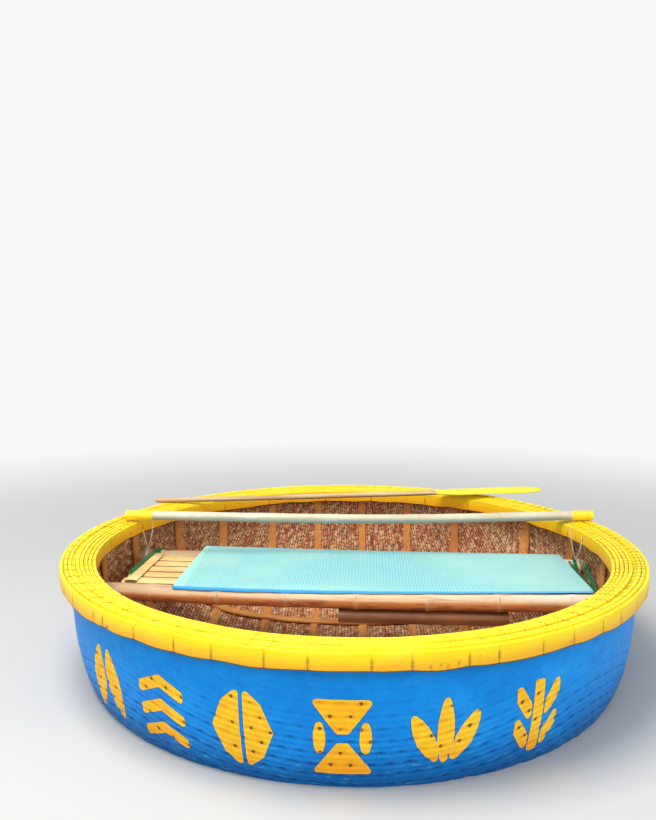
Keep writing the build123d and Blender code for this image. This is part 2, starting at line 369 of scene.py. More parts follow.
def section_inset(radius, height):
    """How deep inside the outer face points lie."""
    inset = height.copy()
    rest = height < WALL_FOOT
    inset[~rest] = HULL_RADIUS - radius[~rest]
    for _, _, centre, bend, slope, _ in reversed(arcs):
        turn = np.arctan2(centre[1] - height, radius - centre[0])
        here = rest & (turn <= math.radians(slope))
        inset[here] = bend - np.hypot(radius - centre[0], height - centre[1])[here]
        rest &= ~here
    return inset


print("section ends at", [round(float(c), 4) for c in section_point(sheet_edge)])

# %% [markdown]
# ## The weave in the surface
# Outside, thick paint fills the weave. What is left are soft rows round the wall, a deeper seam after
# every second row, and a small dimple wherever a strip dives, 66 mm apart and shifted by half from seam
# to seam. Inside, the strips are bare and 15 mm wide, so every crossing shows. Both are real relief, so
# they are moved into the mesh. Each function gives a height in metres for a place on the sheet.

# %% Heights of the weave over the flat sheet
# Steps of the painted rows, steps of the bare strips, then depths in the paint, all in metres
WARP, WEFT = 0.0165, 0.019
STRAND, CROSS = 0.0150, 0.0142
CROWN_DEPTH, SEAM_DEPTH, LUMP_DEPTH, DIMPLE_DEPTH, STRIP_DEPTH = 0.0015, 0.0020, 0.0008, 0.0014, 0.0014


def painted_relief(u, v):
    """Rows of the painted outside: 0 on the crests, negative in seams and dimples."""
    row = v / WEFT
    seam = np.round(row / 2)
    from_seam = np.abs(row - 2 * seam)
    along = (u / WARP - 2 * (seam % 2)) % 4
    from_dive = np.minimum(along, 4 - along)
    across = np.abs(row % 1 - 0.5) * 2
    near_dive = 0.5 + 0.5 * np.cos(np.pi * from_dive / 2)
    crown = CROWN_DEPTH * across**2
    seam_line = SEAM_DEPTH * np.exp(-((from_seam / 0.36) ** 2)) * (0.30 + 0.70 * near_dive)
    lump = LUMP_DEPTH * near_dive * np.exp(-((from_seam / 0.9) ** 2))
    dimple = DIMPLE_DEPTH * np.exp(-((from_seam / 0.34) ** 2) - (from_dive / 0.5) ** 2)
    return -(crown + seam_line + lump + dimple)


def bare_relief(across_way, along_way):
    """Bare strips inside: each shows for three crossings, hides for one, and each starts one further."""
    column = np.floor(across_way / STRAND)
    from_middle = np.abs(across_way / STRAND - column - 0.5) * 2
    along = (along_way / CROSS - column) % 4
    from_float = np.abs(along - 2.5) / 1.5
    bulge = np.clip(1 - from_float**2, -0.6, 1) * (1 - 0.8 * from_middle**2)
    return -STRIP_DEPTH * (1 - bulge + from_middle**2 / 2)


sample = np.meshgrid(np.linspace(0, 0.1, 200), np.linspace(0, 0.1, 200))
for relief in (painted_relief, bare_relief):
    print(relief.__name__, "is at most", round(float(-relief(*sample).min()) * 1000, 2), "mm deep")

# %% [markdown]
# ## Painted marks
# Six marks in yellow paint run round the front, each sprayed through a stencil with bridges between its
# parts. Here they are plain shapes: lozenges, chevrons, leaves and bars. Each outline is a short list of
# corners. The distance from the outline is kept on the hull's vertices, and the paint's shader turns
# that distance into a crisp edge which follows the weave.

# %% Outlines of the marks and the distance from them
CORNER_RADIUS, MARK_HEIGHT, MARK_RADIUS = 0.010, 1.226, 1.04


def outline_distance(corners, x, y):
    """Signed distance from a closed outline, negative inside."""
    nearest = np.full(x.shape, 1e9)
    inside = np.ones(x.shape)
    for (ax, ay), (bx, by) in zip(corners, corners[1:] + corners[:1]):
        ex, ey = bx - ax, by - ay
        wx, wy = x - ax, y - ay
        share = np.clip((wx * ex + wy * ey) / (ex * ex + ey * ey), 0, 1)
        nearest = np.minimum(nearest, (wx - ex * share) ** 2 + (wy - ey * share) ** 2)
        above, below = y >= ay, y < by
        left = ex * wy > ey * wx
        flip = (above & below & left) | (~above & ~below & ~left)
        inside = np.where(flip, -inside, inside)
    return inside * np.sqrt(nearest)


def placed(corners, x=0.0, y=0.0, flip_x=1, flip_y=1):
    """An outline moved, and mirrored where a flip is -1."""
    made = [(a * flip_x + x, b * flip_y + y) for a, b in corners]
    return made[::-1] if flip_x * flip_y < 0 else made


def leaf(middle, lean, width, length):
    """A pointed leaf of ten corners, leaning about its middle."""
    half = [(0, -1), (0.6, -0.62), (1, -0.1), (0.82, 0.4), (0.4, 0.78), (0, 1)]
    ring = half + placed(half[1:-1], flip_x=-1)
    c, s = math.cos(lean), math.sin(lean)
    points = [(x * width / 2, y * length / 2) for x, y in ring]
    return [(middle[0] + x * c + y * s, middle[1] - x * s + y * c) for x, y in points]


def leaf_pair(x, y, lean, width, length):
    """Two leaves, mirrored left and right."""
    return [leaf((-x, y), -lean, width, length), leaf((x, y), lean, width, length)]


def softened(corners):
    """An outline drawn in by the corner radius, so that growing it again rounds its corners."""
    xs, ys = zip(*corners)
    middle_x, middle_y = (max(xs) + min(xs)) / 2, (max(ys) + min(ys)) / 2
    by_x, by_y = (1 - CORNER_RADIUS / ((max(side) - min(side)) / 2) for side in (xs, ys))
    return [(middle_x + (x - middle_x) * by_x, middle_y + (y - middle_y) * by_y) for x, y in corners]


half_lozenge = [(0.006, 0.116), (0.050, 0.084), (0.090, 0.0), (0.050, -0.084), (0.006, -0.116)]
chevron = [(-0.085, 0.0), (0, 0.046), (0.085, 0.0), (0.085, -0.024), (0, 0.022), (-0.085, -0.024)]
fan = [(-0.078, 0.115), (0.078, 0.115), (0.012, 0.014), (-0.012, 0.014)]
bar = [(-0.018, -0.115), (0.018, -0.115), (0.018, 0.115), (-0.018, 0.115)]
twig = [(0.010, 0.0), (0.064, 0.064), (0.064, 0.104), (0.010, 0.040)]
twigs = [placed(twig, side * 0.014, y, side) for side in (1, -1) for y in (0, -0.1)]
marks = (
    (-46.6, leaf_pair(0.047, 0, -0.22, 0.080, 0.230)),
    (-31.4, [placed(chevron, 0, y) for y in (0.060, -0.015, -0.090)]),
    (-16.5, [half_lozenge, placed(half_lozenge, flip_x=-1)]),
    (-1.2, [fan, placed(fan, flip_y=-1)] + leaf_pair(0.062, 0, 0, 0.034, 0.1)),
    (14.2, [leaf((0, 0.01), 0, 0.05, 0.2)] + leaf_pair(0.058, -0.01, 0.5, 0.044, 0.17)),
    (30.2, [bar] + twigs),
)


def marks_distance(turn, distance):
    """Signed distance from all marks, for an angle round the bowl from the front and a place up it."""
    nearest = np.full(turn.shape, 0.05)
    for middle, outlines in marks:
        x, y = (turn - math.radians(middle)) * MARK_RADIUS, distance - MARK_HEIGHT
        close = (np.abs(x) < 0.15) & (np.abs(y) < 0.17)
        for corners in outlines:
            drawn_in = outline_distance(softened(corners), x[close], y[close])
            nearest[close] = np.minimum(nearest[close], drawn_in - CORNER_RADIUS)
    return nearest


print("marks:", len(marks))

# %% [markdown]
# ## Shells of the bowl
# The wall is made as three closed sectors, so that each stays light enough, and the bottom as a round
# dish. A sector starts as a short strip of cells through the sheet's thickness, which is spun a third
# of the way round. Each vertex keeps its place in the sheet as numbers. A plain subdivision makes the
# mesh fine and carries those numbers along, and they then say where every vertex really belongs.

# %% Reading and writing meshes
def to_mesh(bm, name):
    """Turn a bmesh into a mesh and free it."""
    mesh = bpy.data.meshes.new(name)
    bm.to_mesh(mesh)
    bm.free()
    return mesh


def read(items, name, width=1, kind=np.float32):
    """One property of all vertices, corners or faces as an array."""
    values = np.empty(len(items) * width, kind)
    items.foreach_get(name, values)
    values = values.reshape(-1, width) if width > 1 else values
    return values.astype(float) if kind is np.float32 else values


def read_points(mesh):
    return read(mesh.vertices, "co", 3)


def write_points(mesh, *points):
    """Move the vertices to an array of points, or to arrays of x, y and z."""
    points = points[0] if len(points) == 1 else np.stack(points, 1)
    mesh.vertices.foreach_set("co", points.astype(np.float32).ravel())
    mesh.update()


def keep(mesh, **values):
    """Keep numbers on the vertices for later steps or for the materials."""
    for name, numbers in values.items():
        mesh.attributes.new(name, "FLOAT", "POINT").data.foreach_set("value", numbers.astype(np.float32))


def give_map(mesh, name, u, v):
    """A UV map from two numbers for each corner."""
    flat = np.stack([u, v], 1).astype(np.float32).ravel()
    mesh.uv_layers.new(name=name).data.foreach_set("uv", flat)


def smooth(mesh, sharp_from):
    """Shade smooth, but keep edges sharp from an angle in degrees."""
    mesh.shade_smooth()
    mesh.set_sharp_from_angle(angle=math.radians(sharp_from))


def upright(bm, items, axis="X"):
    """Turn part of a flat shape a quarter about an axis."""
    bmesh.ops.rotate(bm, verts=items, matrix=Matrix.Rotation(math.radians(90), 3, axis))


def thickened(bm):
    """Close a flat grid into a slab, one unit thick."""
    moved = bmesh.ops.extrude_face_region(bm, geom=bm.faces[:])["geom"]
    moved_verts = [item for item in moved if isinstance(item, bmesh.types.BMVert)]
    bmesh.ops.translate(bm, verts=moved_verts, vec=(0, 0, 1))
    bmesh.ops.recalc_face_normals(bm, faces=bm.faces)


print("mesh helpers ready")

# %% Coarse shells with their places in the sheet
def wall_sector(name, start, end, rows, turn_start, turn, steps):
    """A closed sector of the wall: a strip of cells through the sheet, spun part of the way round."""
    bm = bmesh.new()
    strip = bmesh.ops.create_grid(bm, x_segments=rows, y_segments=1, size=0.5)["verts"]
    upright(bm, strip)
    bmesh.ops.translate(bm, verts=strip, vec=(2.5, 0, 0))
    geometry = bm.faces[:] + bm.edges[:] + bm.verts[:]
    bmesh.ops.spin(bm, geom=geometry, cent=(0, 0, 0), axis=(0, 0, 1), angle=turn, steps=steps)
    bmesh.ops.recalc_face_normals(bm, faces=bm.faces)
    mesh = to_mesh(bm, name)
    x, y, z = read_points(mesh).T
    around = np.arctan2(y, x) % (2 * math.pi)
    around = np.where(around > turn + 0.1, 0, around)
    distance = start + (end - start) * (np.hypot(x, y) - 2.0)
    keep(mesh, distance=distance, inset=np.where(z > 0, WALL, 0.0), turn=turn_start + around)
    return mesh


def bottom_dish(name, end, cells):
    """A closed round dish: a square grid, drawn into a disc, and given its thickness by an extrusion."""
    bm = bmesh.new()
    bmesh.ops.create_grid(bm, x_segments=cells, y_segments=cells, size=1)
    thickened(bm)
    mesh = to_mesh(bm, name)
    x, y, z = read_points(mesh).T
    x, y = x * np.sqrt(1 - y**2 / 2), y * np.sqrt(1 - x**2 / 2)
    inset = np.where(z > 0.5, WALL, 0.0)
    keep(mesh, distance=np.hypot(x, y) * end, inset=inset, turn=np.arctan2(y, x))
    return mesh


def refined(mesh, levels):
    """Subdivide without smoothing, so that the numbers on the vertices are shared out evenly."""
    coarse = link("coarse", mesh)
    finer = coarse.modifiers.new("finer", "SUBSURF")
    finer.subdivision_type = "SIMPLE"
    finer.levels = finer.render_levels = levels
    seen = coarse.evaluated_get(bpy.context.evaluated_depsgraph_get())
    fine = bpy.data.meshes.new_from_object(seen)
    bpy.data.objects.remove(coarse)
    return fine


wall_start, third = 0.95, math.radians(120)
shells = {}
for name, turn_start in (("hull_front", 210), ("hull_right", 330), ("hull_left", 90)):
    sector = wall_sector(name, wall_start, sheet_edge, 12, math.radians(turn_start), third, 53)
    shells[name] = refined(sector, 3)
shells["hull_bottom"] = bottom_dish("hull_bottom", wall_start, 104)
print({name: len(mesh.vertices) for name, mesh in shells.items()})

# %% [markdown]
# ## Relief, marks and sheet map
# Now the vertices go to their real places, moved along the sheet's own direction by the height of the
# weave. Inside, the strips follow the flat sheet. Outside, the rows of the wall run nearly level round
# the bowl and dip a little at the front, the back and the sides. Near the top the paint is thicker and
# the rows are calmer. The distance from the painted marks and the place in the weave stay on the mesh
# for the materials.

# %% Shape the shells
DIPS_ROUND = 120 * 4 * WARP / (2 * math.pi)
DRAPE = 0.413
CALM_START, CALM_WAY, CALM_SHARE, EDGE_FADE, PAINT_DEPTH = 1.15, 0.20, 0.76, 0.03, 0.0005
SLOW_WAVES = ((31, 9, 0.4), (-17, 26, 2.1), (12, -41, 4.0), (47, 22, 5.2))


def rows_round(turn, distance):
    """Places along and across the outer rows of the wall."""
    around = turn - math.radians(270)
    drape = DRAPE * (np.sin(2 * around) - np.sin(6 * around) / 12)
    return DIPS_ROUND * around, -distance * np.cos(drape)


def shape_shell(mesh, relief, on_wall):
    """Put a shell's vertices in place with the weave's height, and keep its marks and its map."""
    places = [mesh.attributes[name] for name in ("distance", "inset", "turn")]
    distance, inset, turn = (read(place.data, "value") for place in places)
    u, v = distance * np.cos(turn), distance * np.sin(turn)
    outside = 1 - inset / WALL
    row_u, row_v = rows_round(turn, distance) if on_wall else (u, v)
    outer, inner = painted_relief(row_u, row_v), bare_relief(u, v)
    calm = 1 - CALM_SHARE * np.clip((distance - CALM_START) / CALM_WAY, 0, 1)
    slow = sum(np.sin(u * a + v * b + c) for a, b, c in SLOW_WAVES)
    at_edge = np.clip((sheet_edge - distance) / EDGE_FADE, 0, 1)
    if on_wall:
        outer *= np.clip((distance - wall_start) / 0.10, 0.25, 1)
    outer = (outer * calm * (1 + 0.22 * slow) - PAINT_DEPTH * (1 + slow / 4)) * at_edge
    inner = inner * 0.95 * at_edge
    moved_in = inset - (outer * outside - inner * (1 - outside)) * relief
    radius, height = section_point(distance, moved_in)
    write_points(mesh, radius * np.cos(turn), radius * np.sin(turn), height)
    front_turn = (turn + math.pi / 2 + math.pi) % (2 * math.pi) - math.pi
    keep(mesh, mark=np.where(outside > 0.5, marks_distance(front_turn, distance), 0.05) * 100)
    corner = read(mesh.loops, "vertex_index", kind=np.int32)
    map_u, map_v = np.where(outside > 0.5, row_u, u), np.where(outside > 0.5, row_v, v)
    give_map(mesh, "sheet", map_u[corner], map_v[corner])
    start = read(mesh.polygons, "loop_start", kind=np.int32)
    within = np.add.reduceat((inset > WALL * 0.4)[corner].astype(int), start) >= 3
    mesh.polygons.foreach_set("material_index", within.astype(np.int32))
    for name in ("distance", "inset", "turn"):
        mesh.attributes.remove(mesh.attributes[name])
    mesh.update()
    smooth(mesh, 65)


for name, mesh in shells.items():
    on_wall = name != "hull_bottom"
    shape_shell(mesh, 1.0 if on_wall else 0.25, on_wall)
print("shells shaped")

# %% [markdown]
# ## Split bamboo in the shader
# Three effects take many sums or serve many materials, so each is a node group. The first finds, for
# a place on the woven sheet, which strip lies on top, gives it tints of its own and says how near its
# edge is. The second finds the dimples and seams that stay visible under the paint. The third is the
# long fibre of bamboo: streaks that are stretched along the strip.

# %% Node group: strips of the woven sheet
weave_strips, sheet = new_group("woven strips", Sheet=None)
waver = (noise(sheet, 42.0, 2.0, 0.5) - 0.5) * 0.9
strand_place = part(sheet, "X") / STRAND + waver * 0.35
column = math.floor(strand_place)
across = strand_place - column - 0.5
slipped = dice(column, "1D").math("MULTIPLY_ADD", 1.1, part(sheet, "Y") / CROSS)
cross_place = slipped - column + waver
number = math.floor(cross_place / 4.0)
along = cross_place - number * 4.0
on_float = along.math("GREATER_THAN", 1.0)
from_middle = {0: on_float, 2: (along - 0.5) * 1.7, 3: (along - 2.5) / 1.5}
from_float = put(weave_strips, "Mix", {"data_type": "FLOAT"}, from_middle)
near_edge = abs(across * 1.85) ** 1.7 + abs(from_float) ** 1.9
long_number = math.floor(number.math("MULTIPLY_ADD", 0.21, column * 0.37))
close_group(
    weave_strips,
    Tint=dice(joined(column, long_number)),
    Bit=dice(joined(column, number, on_float), "3D"),
    Core=band(near_edge, 0.36, 1.15, 1.0, 0.0),
    Fibre=noise(joined(along * 0.5, across * 9.0, column), 1.3, 3.0, 0.6),
)

# %% Node group: dimples and seams under the paint
paint_dimples, sheet = new_group("dimples under paint", Sheet=None)
row = part(sheet, "Y") / (2 * WEFT)
seam = round(row)
from_seam = abs(row - seam) * 2.0
place = part(sheet, "X") / (4 * WARP) - seam % 2.0 * 0.5
number = round(place)
from_dive = abs(place - number) * 4.0
dimple_chance = dice(joined(number, seam))
far_u, far_v = from_dive / 0.42, from_seam / 0.31
far = (far_u * far_u + far_v * far_v).math("SQRT") / (dimple_chance * 0.45 + 0.65)
close_group(
    paint_dimples,
    Dimple=band(far, 0.7, 1.25, 1.0, 0.0),
    Seam=band(from_seam, 0.08, 0.42, 1.0, 0.0) * band(from_dive, 0.5, 1.9, 1.0, 0.1),
    Chance=dimple_chance,
    Row=band(abs(part(sheet, "Y") / WEFT % 1.0 - 0.5), 0.12, 0.48),
)

# %% Node group: long bamboo fibre
fibre_group, place, fineness = new_group("bamboo fibre", Place=None, Fine=1.0)
close_group(
    fibre_group,
    Streak=noise(stretch(place, (2.2, 60.0, 60.0)), fineness, 5.0, 0.6),
    Fleck=noise(stretch(place, (18.0, 160.0, 160.0)), fineness, 3.0, 0.7),
    Cloud=noise(place, 4.5, 4.0, 0.6),
)

# %% [markdown]
# ## Paint on the weave, bare weave inside
# Outside, blue house paint lies thick on the weave. Painted shade makes it darker and greener low down,
# darker under the rim, and darker in the rows, seams and dimples, while worn paint and painted glints
# lie pale on the crests low down. The yellow marks lie on the blue and miss many dimples, so dark dots
# show through. Inside, the strips are bare: brown and red-brown with age, some still pale, and painted
# shade darkens each float towards its edges. Each colour is built up in layers, and every layer is a
# mask and a colour.

# %% Painted outside of the bowl
hull_paint, tree, shader = new_material("hull_paint", Roughness=0.46, IOR=1.45, Specular_IOR_Level=0.16)
here, sheet = own_place(tree), map_place(tree, "sheet")
under = use_group(tree, paint_dimples, Sheet=sheet)
row, seam, dimple = under["Row"], under["Seam"], under["Dimple"]
height = part(here, "Z")
cloud = noise(here, 5.0, 5.0, 0.65)
fine = noise(here, 90.0, 3.0, 0.6)
blotch = noise(here, 17.0, 4.0, 0.6)
low = band(cloud * 0.10 + height, 0.235, 0.40, 1.0, 0.0)
lower_half = band(blotch * 0.16 + height, 0.34, 0.56, 1.0, 0.12)
broken = band(noise(sheet, (16.0, 40.0, 1.0), 3.0, 0.6), 0.36, 0.60, 0.15, 0.55)
# Worn paint and painted glints on the crests of the rows, low down.
scuff_and_glint = band(noise(sheet, (22.0, 75.0, 1.0), 3.0, 0.6), 0.56, 0.68) * band(row, 0.0, 0.5, 1.0, 0.0)
ticks = noise(sheet, (150.0, 34.0, 1.0), 2.0, 0.5)
blue = layers(
    ramp(cloud, (0.25, (2, 126, 218)), (0.5, (6, 142, 232)), (0.75, (30, 158, 243))),
    (band(blotch, 0.52, 0.75, 0.0, 0.45), (10, 112, 204)),
    # Painted shade: darker and greener low down, darker towards the rim's overhang, and a dark line right
    # under the rim.
    (low * 0.84, (0, 86, 146)),
    (band(height, 0.50, 0.56, 0.0, 0.30), (4, 90, 150)),
    (band(height, 0.546, 0.561, 0.0, 0.65), (4, 44, 76)),
    # Painted shade in the rows, seams and dimples, strongest low down; pale worn paint and painted glints
    # on the crests.
    (row * lower_half * broken, (2, 86, 172)),
    (seam * lower_half * 0.46, (2, 64, 138)),
    (scuff_and_glint * band(height, 0.24, 0.38, 0.55, 0.12), (92, 178, 226)),
    (dimple * lower_half * 0.40, (2, 52, 112)),
    (band(ticks, 0.66, 0.76, 0.0, 0.38), (2, 70, 150)),
)
edge = (fine - 0.5) * 0.22 + attribute(tree, "mark")
missed = dimple * band(under["Chance"], 0.25, 0.4)
yellow = layers(
    ramp(cloud, (0.3, (252, 186, 28)), (0.55, (255, 212, 44)), (0.8, (255, 224, 74))),
    # Painted shade: more orange low down and in the rows and seams.
    (low * 0.85, (244, 146, 22)),
    (row * 0.38, (242, 152, 24)),
    (seam * 0.45, (236, 124, 24)),
    (band(blotch, 0.6, 0.72, 0.0, 0.5), (243, 150, 28)),
    (missed * 0.85, (70, 58, 36)),
    (band(abs(edge + 0.10), 0.0, 0.14, 0.45, 0.0), (250, 222, 110)),
)
colour = layers(
    blue,
    (band(abs(edge - 0.10), 0.0, 0.16, 0.75, 0.0), (30, 66, 62)),
    (band(edge, -0.06, 0.06, 1.0, 0.0), yellow),
    (band(height, 0.590, 0.598), (250, 216, 20)),
)
finish(shader, colour, cloud * 0.6 + fine, 0.0006, band(cloud, 0.2, 0.8, 0.36, 0.56))
print("material:", hull_paint.name)

# %% Bare woven strips of the inside
bare_weave, tree, shader = new_material("bare_weave", Roughness=0.6, Specular_IOR_Level=0.35)
here, sheet = own_place(tree), map_place(tree, "sheet")
strips = use_group(tree, weave_strips, Sheet=sheet)
bit, core, fibre = strips["Bit"], strips["Core"], strips["Fibre"]
strip_tones = (
    (0.0, (176, 100, 66)), (0.15, (226, 156, 106)), (0.32, (246, 192, 134)), (0.48, (212, 134, 90)),
    (0.62, (250, 212, 156)), (0.76, (222, 178, 118)), (0.88, (226, 112, 76)), (0.95, (244, 228, 172)),
)
bit_tones = (
    (0.0, (140, 70, 50)), (0.2, (236, 158, 106)), (0.42, (255, 216, 160)), (0.6, (214, 98, 66)),
    (0.8, (236, 190, 136)), (1.0, (255, 242, 214)),
)
patches = noise(sheet, (26.0, 11.0, 1.0), 3.0, 0.6)
flecks = noise(sheet, (64.0, 24.0, 1.0), 2.0, 0.6)
colour = layers(
    ramp(strips["Tint"], *strip_tones),
    (0.58, ramp(bit, *bit_tones)),
    (band(fibre, 0.36, 0.60, 0.45, 0.0), (124, 66, 44)),
    (band(patches, 0.50, 0.66, 0.0, 0.50), (142, 66, 44)),
    (band(patches, 0.34, 0.48, 0.45, 0.0), (252, 214, 152)),
    (band(noise(here, 3.5, 4.0, 0.6), 0.42, 0.75, 0.0, 0.25), (160, 92, 56)),
    (band(flecks, 0.54, 0.66, 0.0, 0.62), (255, 226, 172)),
    (band(flecks, 0.34, 0.46, 0.62, 0.0), (104, 52, 38)),
    # Painted shade: each float darkens towards its edges, where it dives under the next.
    (band(core, 0.0, 0.75, 0.94, 0.0), mix(bit, (74, 36, 26), (128, 64, 42))),
    (band(part(here, "Z"), 0.590, 0.598), (250, 216, 20)),
)
finish(shader, colour, core * 0.8 + fibre, 0.0008)
print("material:", bare_weave.name)

# %% Put the shells in place of the CAD bowl
def add_piece(name, data, replaced, slot, *materials, body="boat"):
    """Make an object of a finished mesh or curve, give it its materials and let it ride on a body."""
    piece = link(name, data)
    for material in materials:
        data.materials.append(material)
    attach(piece, body)
    if replaced:
        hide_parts(replaced)
    return piece


for name, mesh in shells.items():
    add_piece(name, mesh, "hull_basket", "painted_weave", hull_paint, bare_weave)
print("bowl pieces:", list(shells))

# %% [markdown]
# ## Laths of the rim
# The rim is eight long bamboo laths, bent round the edge one beside the other, three outside the woven
# edge and five inside, and sewn together. Each lath is a rounded strip section, spun once round. Real
# laths aren't even, so each ring wanders a little in height and width and has the raised joints of
# bamboo. More steps are spent near the joints than between them.

# %% Places of the joints round a lath
CIRCLE = 2 * math.pi
chance = np.random.default_rng(11)
front_joints = (-41.9, -34.0, -26.1, -19.8, -11.9, -5.8, 2.8, 8.3, 16.4, 20.9, 28.4, 34.5, 41.6)
beside_joint = np.array((-0.006, -0.0032, -0.0018, -0.0009, 0, 0.0009, 0.0018, 0.0032, 0.006))


def joint_turns(spacing, first=None):
    """Angles of the joints round a ring, from the seeded chance or from a list that comes first."""
    turns = list(first or (0.0,))
    while turns[-1] < turns[0] + 360 - spacing * 1.5:
        turns.append(turns[-1] + spacing * chance.uniform(0.72, 1.28))
    return np.radians(np.array(turns))


def step_turns(joints, radius, between):
    """Turns of all steps round a ring: close beside each joint, wide between them."""
    turns = []
    for a, b in zip(joints, np.append(joints[1:], joints[0] + CIRCLE)):
        turns += list(a + beside_joint / radius)
        turns += list(np.linspace(a + 0.011 / radius, b - 0.011 / radius, between))
    return np.array(turns)


def smallest(gaps):
    """From each row of a table, the number that is nearest to zero."""
    return gaps[np.arange(len(gaps)), np.abs(gaps).argmin(1)]


def belly_between(turn, joints):
    """0 at the joints and 1 in the middle between them."""
    ends = np.append(joints, joints[0] + CIRCLE)
    place = (turn - joints[0]) % CIRCLE + joints[0]
    span = np.clip(np.searchsorted(ends, place, side="right") - 1, 0, len(joints) - 1)
    return np.sin(math.pi * np.clip((place - ends[span]) / (ends[span + 1] - ends[span]), 0, 1)) ** 0.6


def wander(seed, size, place, shift=0):
    """A sum of a few slow waves along a piece, from a seed."""
    pick = np.random.default_rng(seed)
    made = 0
    for n in range(6):
        height = size * pick.uniform(0.3, 1) / (1 + n * 0.35)
        made += height * np.sin((2 + 3 * n) * place + pick.uniform(0, 6.28) + shift)
    return made


outer_joints = joint_turns(7.1, [joint - 90 for joint in front_joints])
print("joints on the outermost lath:", len(outer_joints))

# %% One lath
LATH_WIDTH, LATH_HEIGHT, LATH_PITCH = 0.0138, 0.055, 0.0141
LATH_RIDGE, LATH_GROOVE, LATH_BELLY, LATH_HEM = 0.0009, 0.0011, 0.0026, 0.0012
OUTERMOST, INNERMOST = ("outer", 2), ("inner", 4)


def edge_vector(edge):
    """From one end of an edge to the other."""
    return edge.verts[0].co - edge.verts[1].co


def ring_of_steps(name, middle, centre, rounding, middle_cuts, corners, per_joint):
    """A plain ring with many corners: a rounded strip section, spun round and cut into steps."""
    bm = bmesh.new()
    section = bmesh.ops.create_grid(bm, x_segments=1, y_segments=1, size=0.5)["verts"]
    bmesh.ops.scale(bm, vec=(LATH_WIDTH, LATH_HEIGHT, 1), verts=section)
    upright(bm, section)
    settings = {"offset": rounding, "segments": 3, "profile": 0.5, "material": -1}
    bmesh.ops.bevel(bm, geom=section, affect="VERTICES", **settings)
    bmesh.ops.delete(bm, geom=bm.faces[:], context="FACES_ONLY")
    tall = [edge for edge in bm.edges if abs(edge_vector(edge).z) > 0.03]
    bmesh.ops.subdivide_edges(bm, edges=tall, cuts=middle_cuts)
    bmesh.ops.translate(bm, verts=bm.verts, vec=(middle, 0, centre))
    section, circle = bm.edges[:] + bm.verts[:], {"cent": (0, 0, 0), "axis": (0, 0, 1), "angle": CIRCLE}
    bmesh.ops.spin(bm, geom=section, steps=corners, use_merge=True, **circle)
    along_ring = [edge for edge in bm.edges if edge_vector(edge).length > 0.06]
    bmesh.ops.subdivide_edges(bm, edges=along_ring, cuts=per_joint - 1)
    bmesh.ops.recalc_face_normals(bm, faces=bm.faces)
    return to_mesh(bm, name)


def lath_ring(name, inner_radius, top, joints, between, rounding, seed, middle_cuts):
    """A closed ring of a lath, moved into its uneven bamboo shape."""
    middle, centre = inner_radius + LATH_WIDTH / 2, top - LATH_HEIGHT / 2
    turns = step_turns(joints, middle, between)
    per_joint = len(turns) // len(joints)
    mesh = ring_of_steps(name, middle, centre, rounding, middle_cuts, len(joints), per_joint)
    x, y, z = read_points(mesh).T
    normal_x, normal_y, up = read(mesh.vertex_normals, "vector", 3).T
    old = np.arctan2(y, x)
    half_step = math.pi / len(joints)
    run = np.floor((old % CIRCLE) / (2 * half_step))
    from_middle = (old % CIRCLE) - (2 * run + 1) * half_step
    place = (np.tan(from_middle) / math.tan(half_step) + 1) / 2 * per_joint
    share = run * per_joint + np.round(place)
    turn = np.interp(share, np.arange(len(turns) + 1), np.append(turns, turns[0] + CIRCLE))
    radius = np.hypot(x, y) * np.cos(from_middle) / math.cos(half_step)
    out = normal_x * np.cos(old) + normal_y * np.sin(old)
    along = smallest((turn[:, None] - joints[None, :] + math.pi) % CIRCLE - math.pi) * middle
    groove = LATH_GROOVE * np.exp(-((along / 0.0011) ** 2))
    ridge = LATH_RIDGE * np.exp(-(((np.abs(along) - 0.0042) / 0.0026) ** 2)) - groove
    belly = belly_between(turn, joints)
    lower = np.clip((centre - z) / (LATH_HEIGHT / 2), 0, 1)
    hem = LATH_HEM * sum(np.sin(k * turn + seed * k) for k in (7, 11, 19, 29, 43))
    height = z + up * ridge + wander(seed, 0.0008, turn) - (LATH_BELLY * belly + hem) * lower
    radius = radius + out * ridge + wander(seed + 50, 0.00032, turn)
    radius += np.where(out > 0.5, 0.0005 * belly - 0.0016, 0)
    write_points(mesh, radius * np.cos(turn), radius * np.sin(turn), height)
    side, low = (radius - inner_radius) / LATH_WIDTH, (top - z) / LATH_HEIGHT
    keep(mesh, joint=np.abs(along) * 1000, side=side, low=low)
    give_ring_map(mesh, turn, middle, z + radius)
    mesh.shade_smooth()
    return mesh


def give_ring_map(mesh, turn, radius, across):
    """UV map in metres: along the lath, and across and down it. The last step joins the first."""
    corner = read(mesh.loops, "vertex_index", kind=np.int32)
    start = read(mesh.polygons, "loop_start", kind=np.int32)
    total = read(mesh.polygons, "loop_total", kind=np.int32)
    along = (turn % CIRCLE)[corner] * radius
    most = np.repeat(np.maximum.reduceat(along, start), total)
    whole = CIRCLE * radius
    give_map(mesh, "lath", np.where(most - along > whole / 2, along + whole, along), across[corner])


laths = []
for side, radius, pitch, tops, seed in (
    ("outer", 1.0573, LATH_PITCH, (0.620, 0.620, 0.617), 20),
    ("inner", 1.0309, -LATH_PITCH, (0.618, 0.616, 0.614, 0.611, 0.608), 30),
):
    for index, top in enumerate(tops):
        outermost = (side, index) == OUTERMOST
        joints = outer_joints if outermost else joint_turns(15.5)
        between, rounding = (10, 0.0062) if outermost else (12, 0.0042)
        cuts = {OUTERMOST: 5, INNERMOST: 3}.get((side, index), 1)
        name, inside = f"rim_{side}_{index + 1}", radius + index * pitch
        mesh = lath_ring(name, inside, top, joints, between, rounding, seed + index, cuts)
        laths.append((inside + LATH_WIDTH / 2, top, mesh, f"rim_lath_{side}_{index + 1}"))
print("laths:", len(laths), "vertices:", sum(len(lath[2].vertices) for lath in laths))
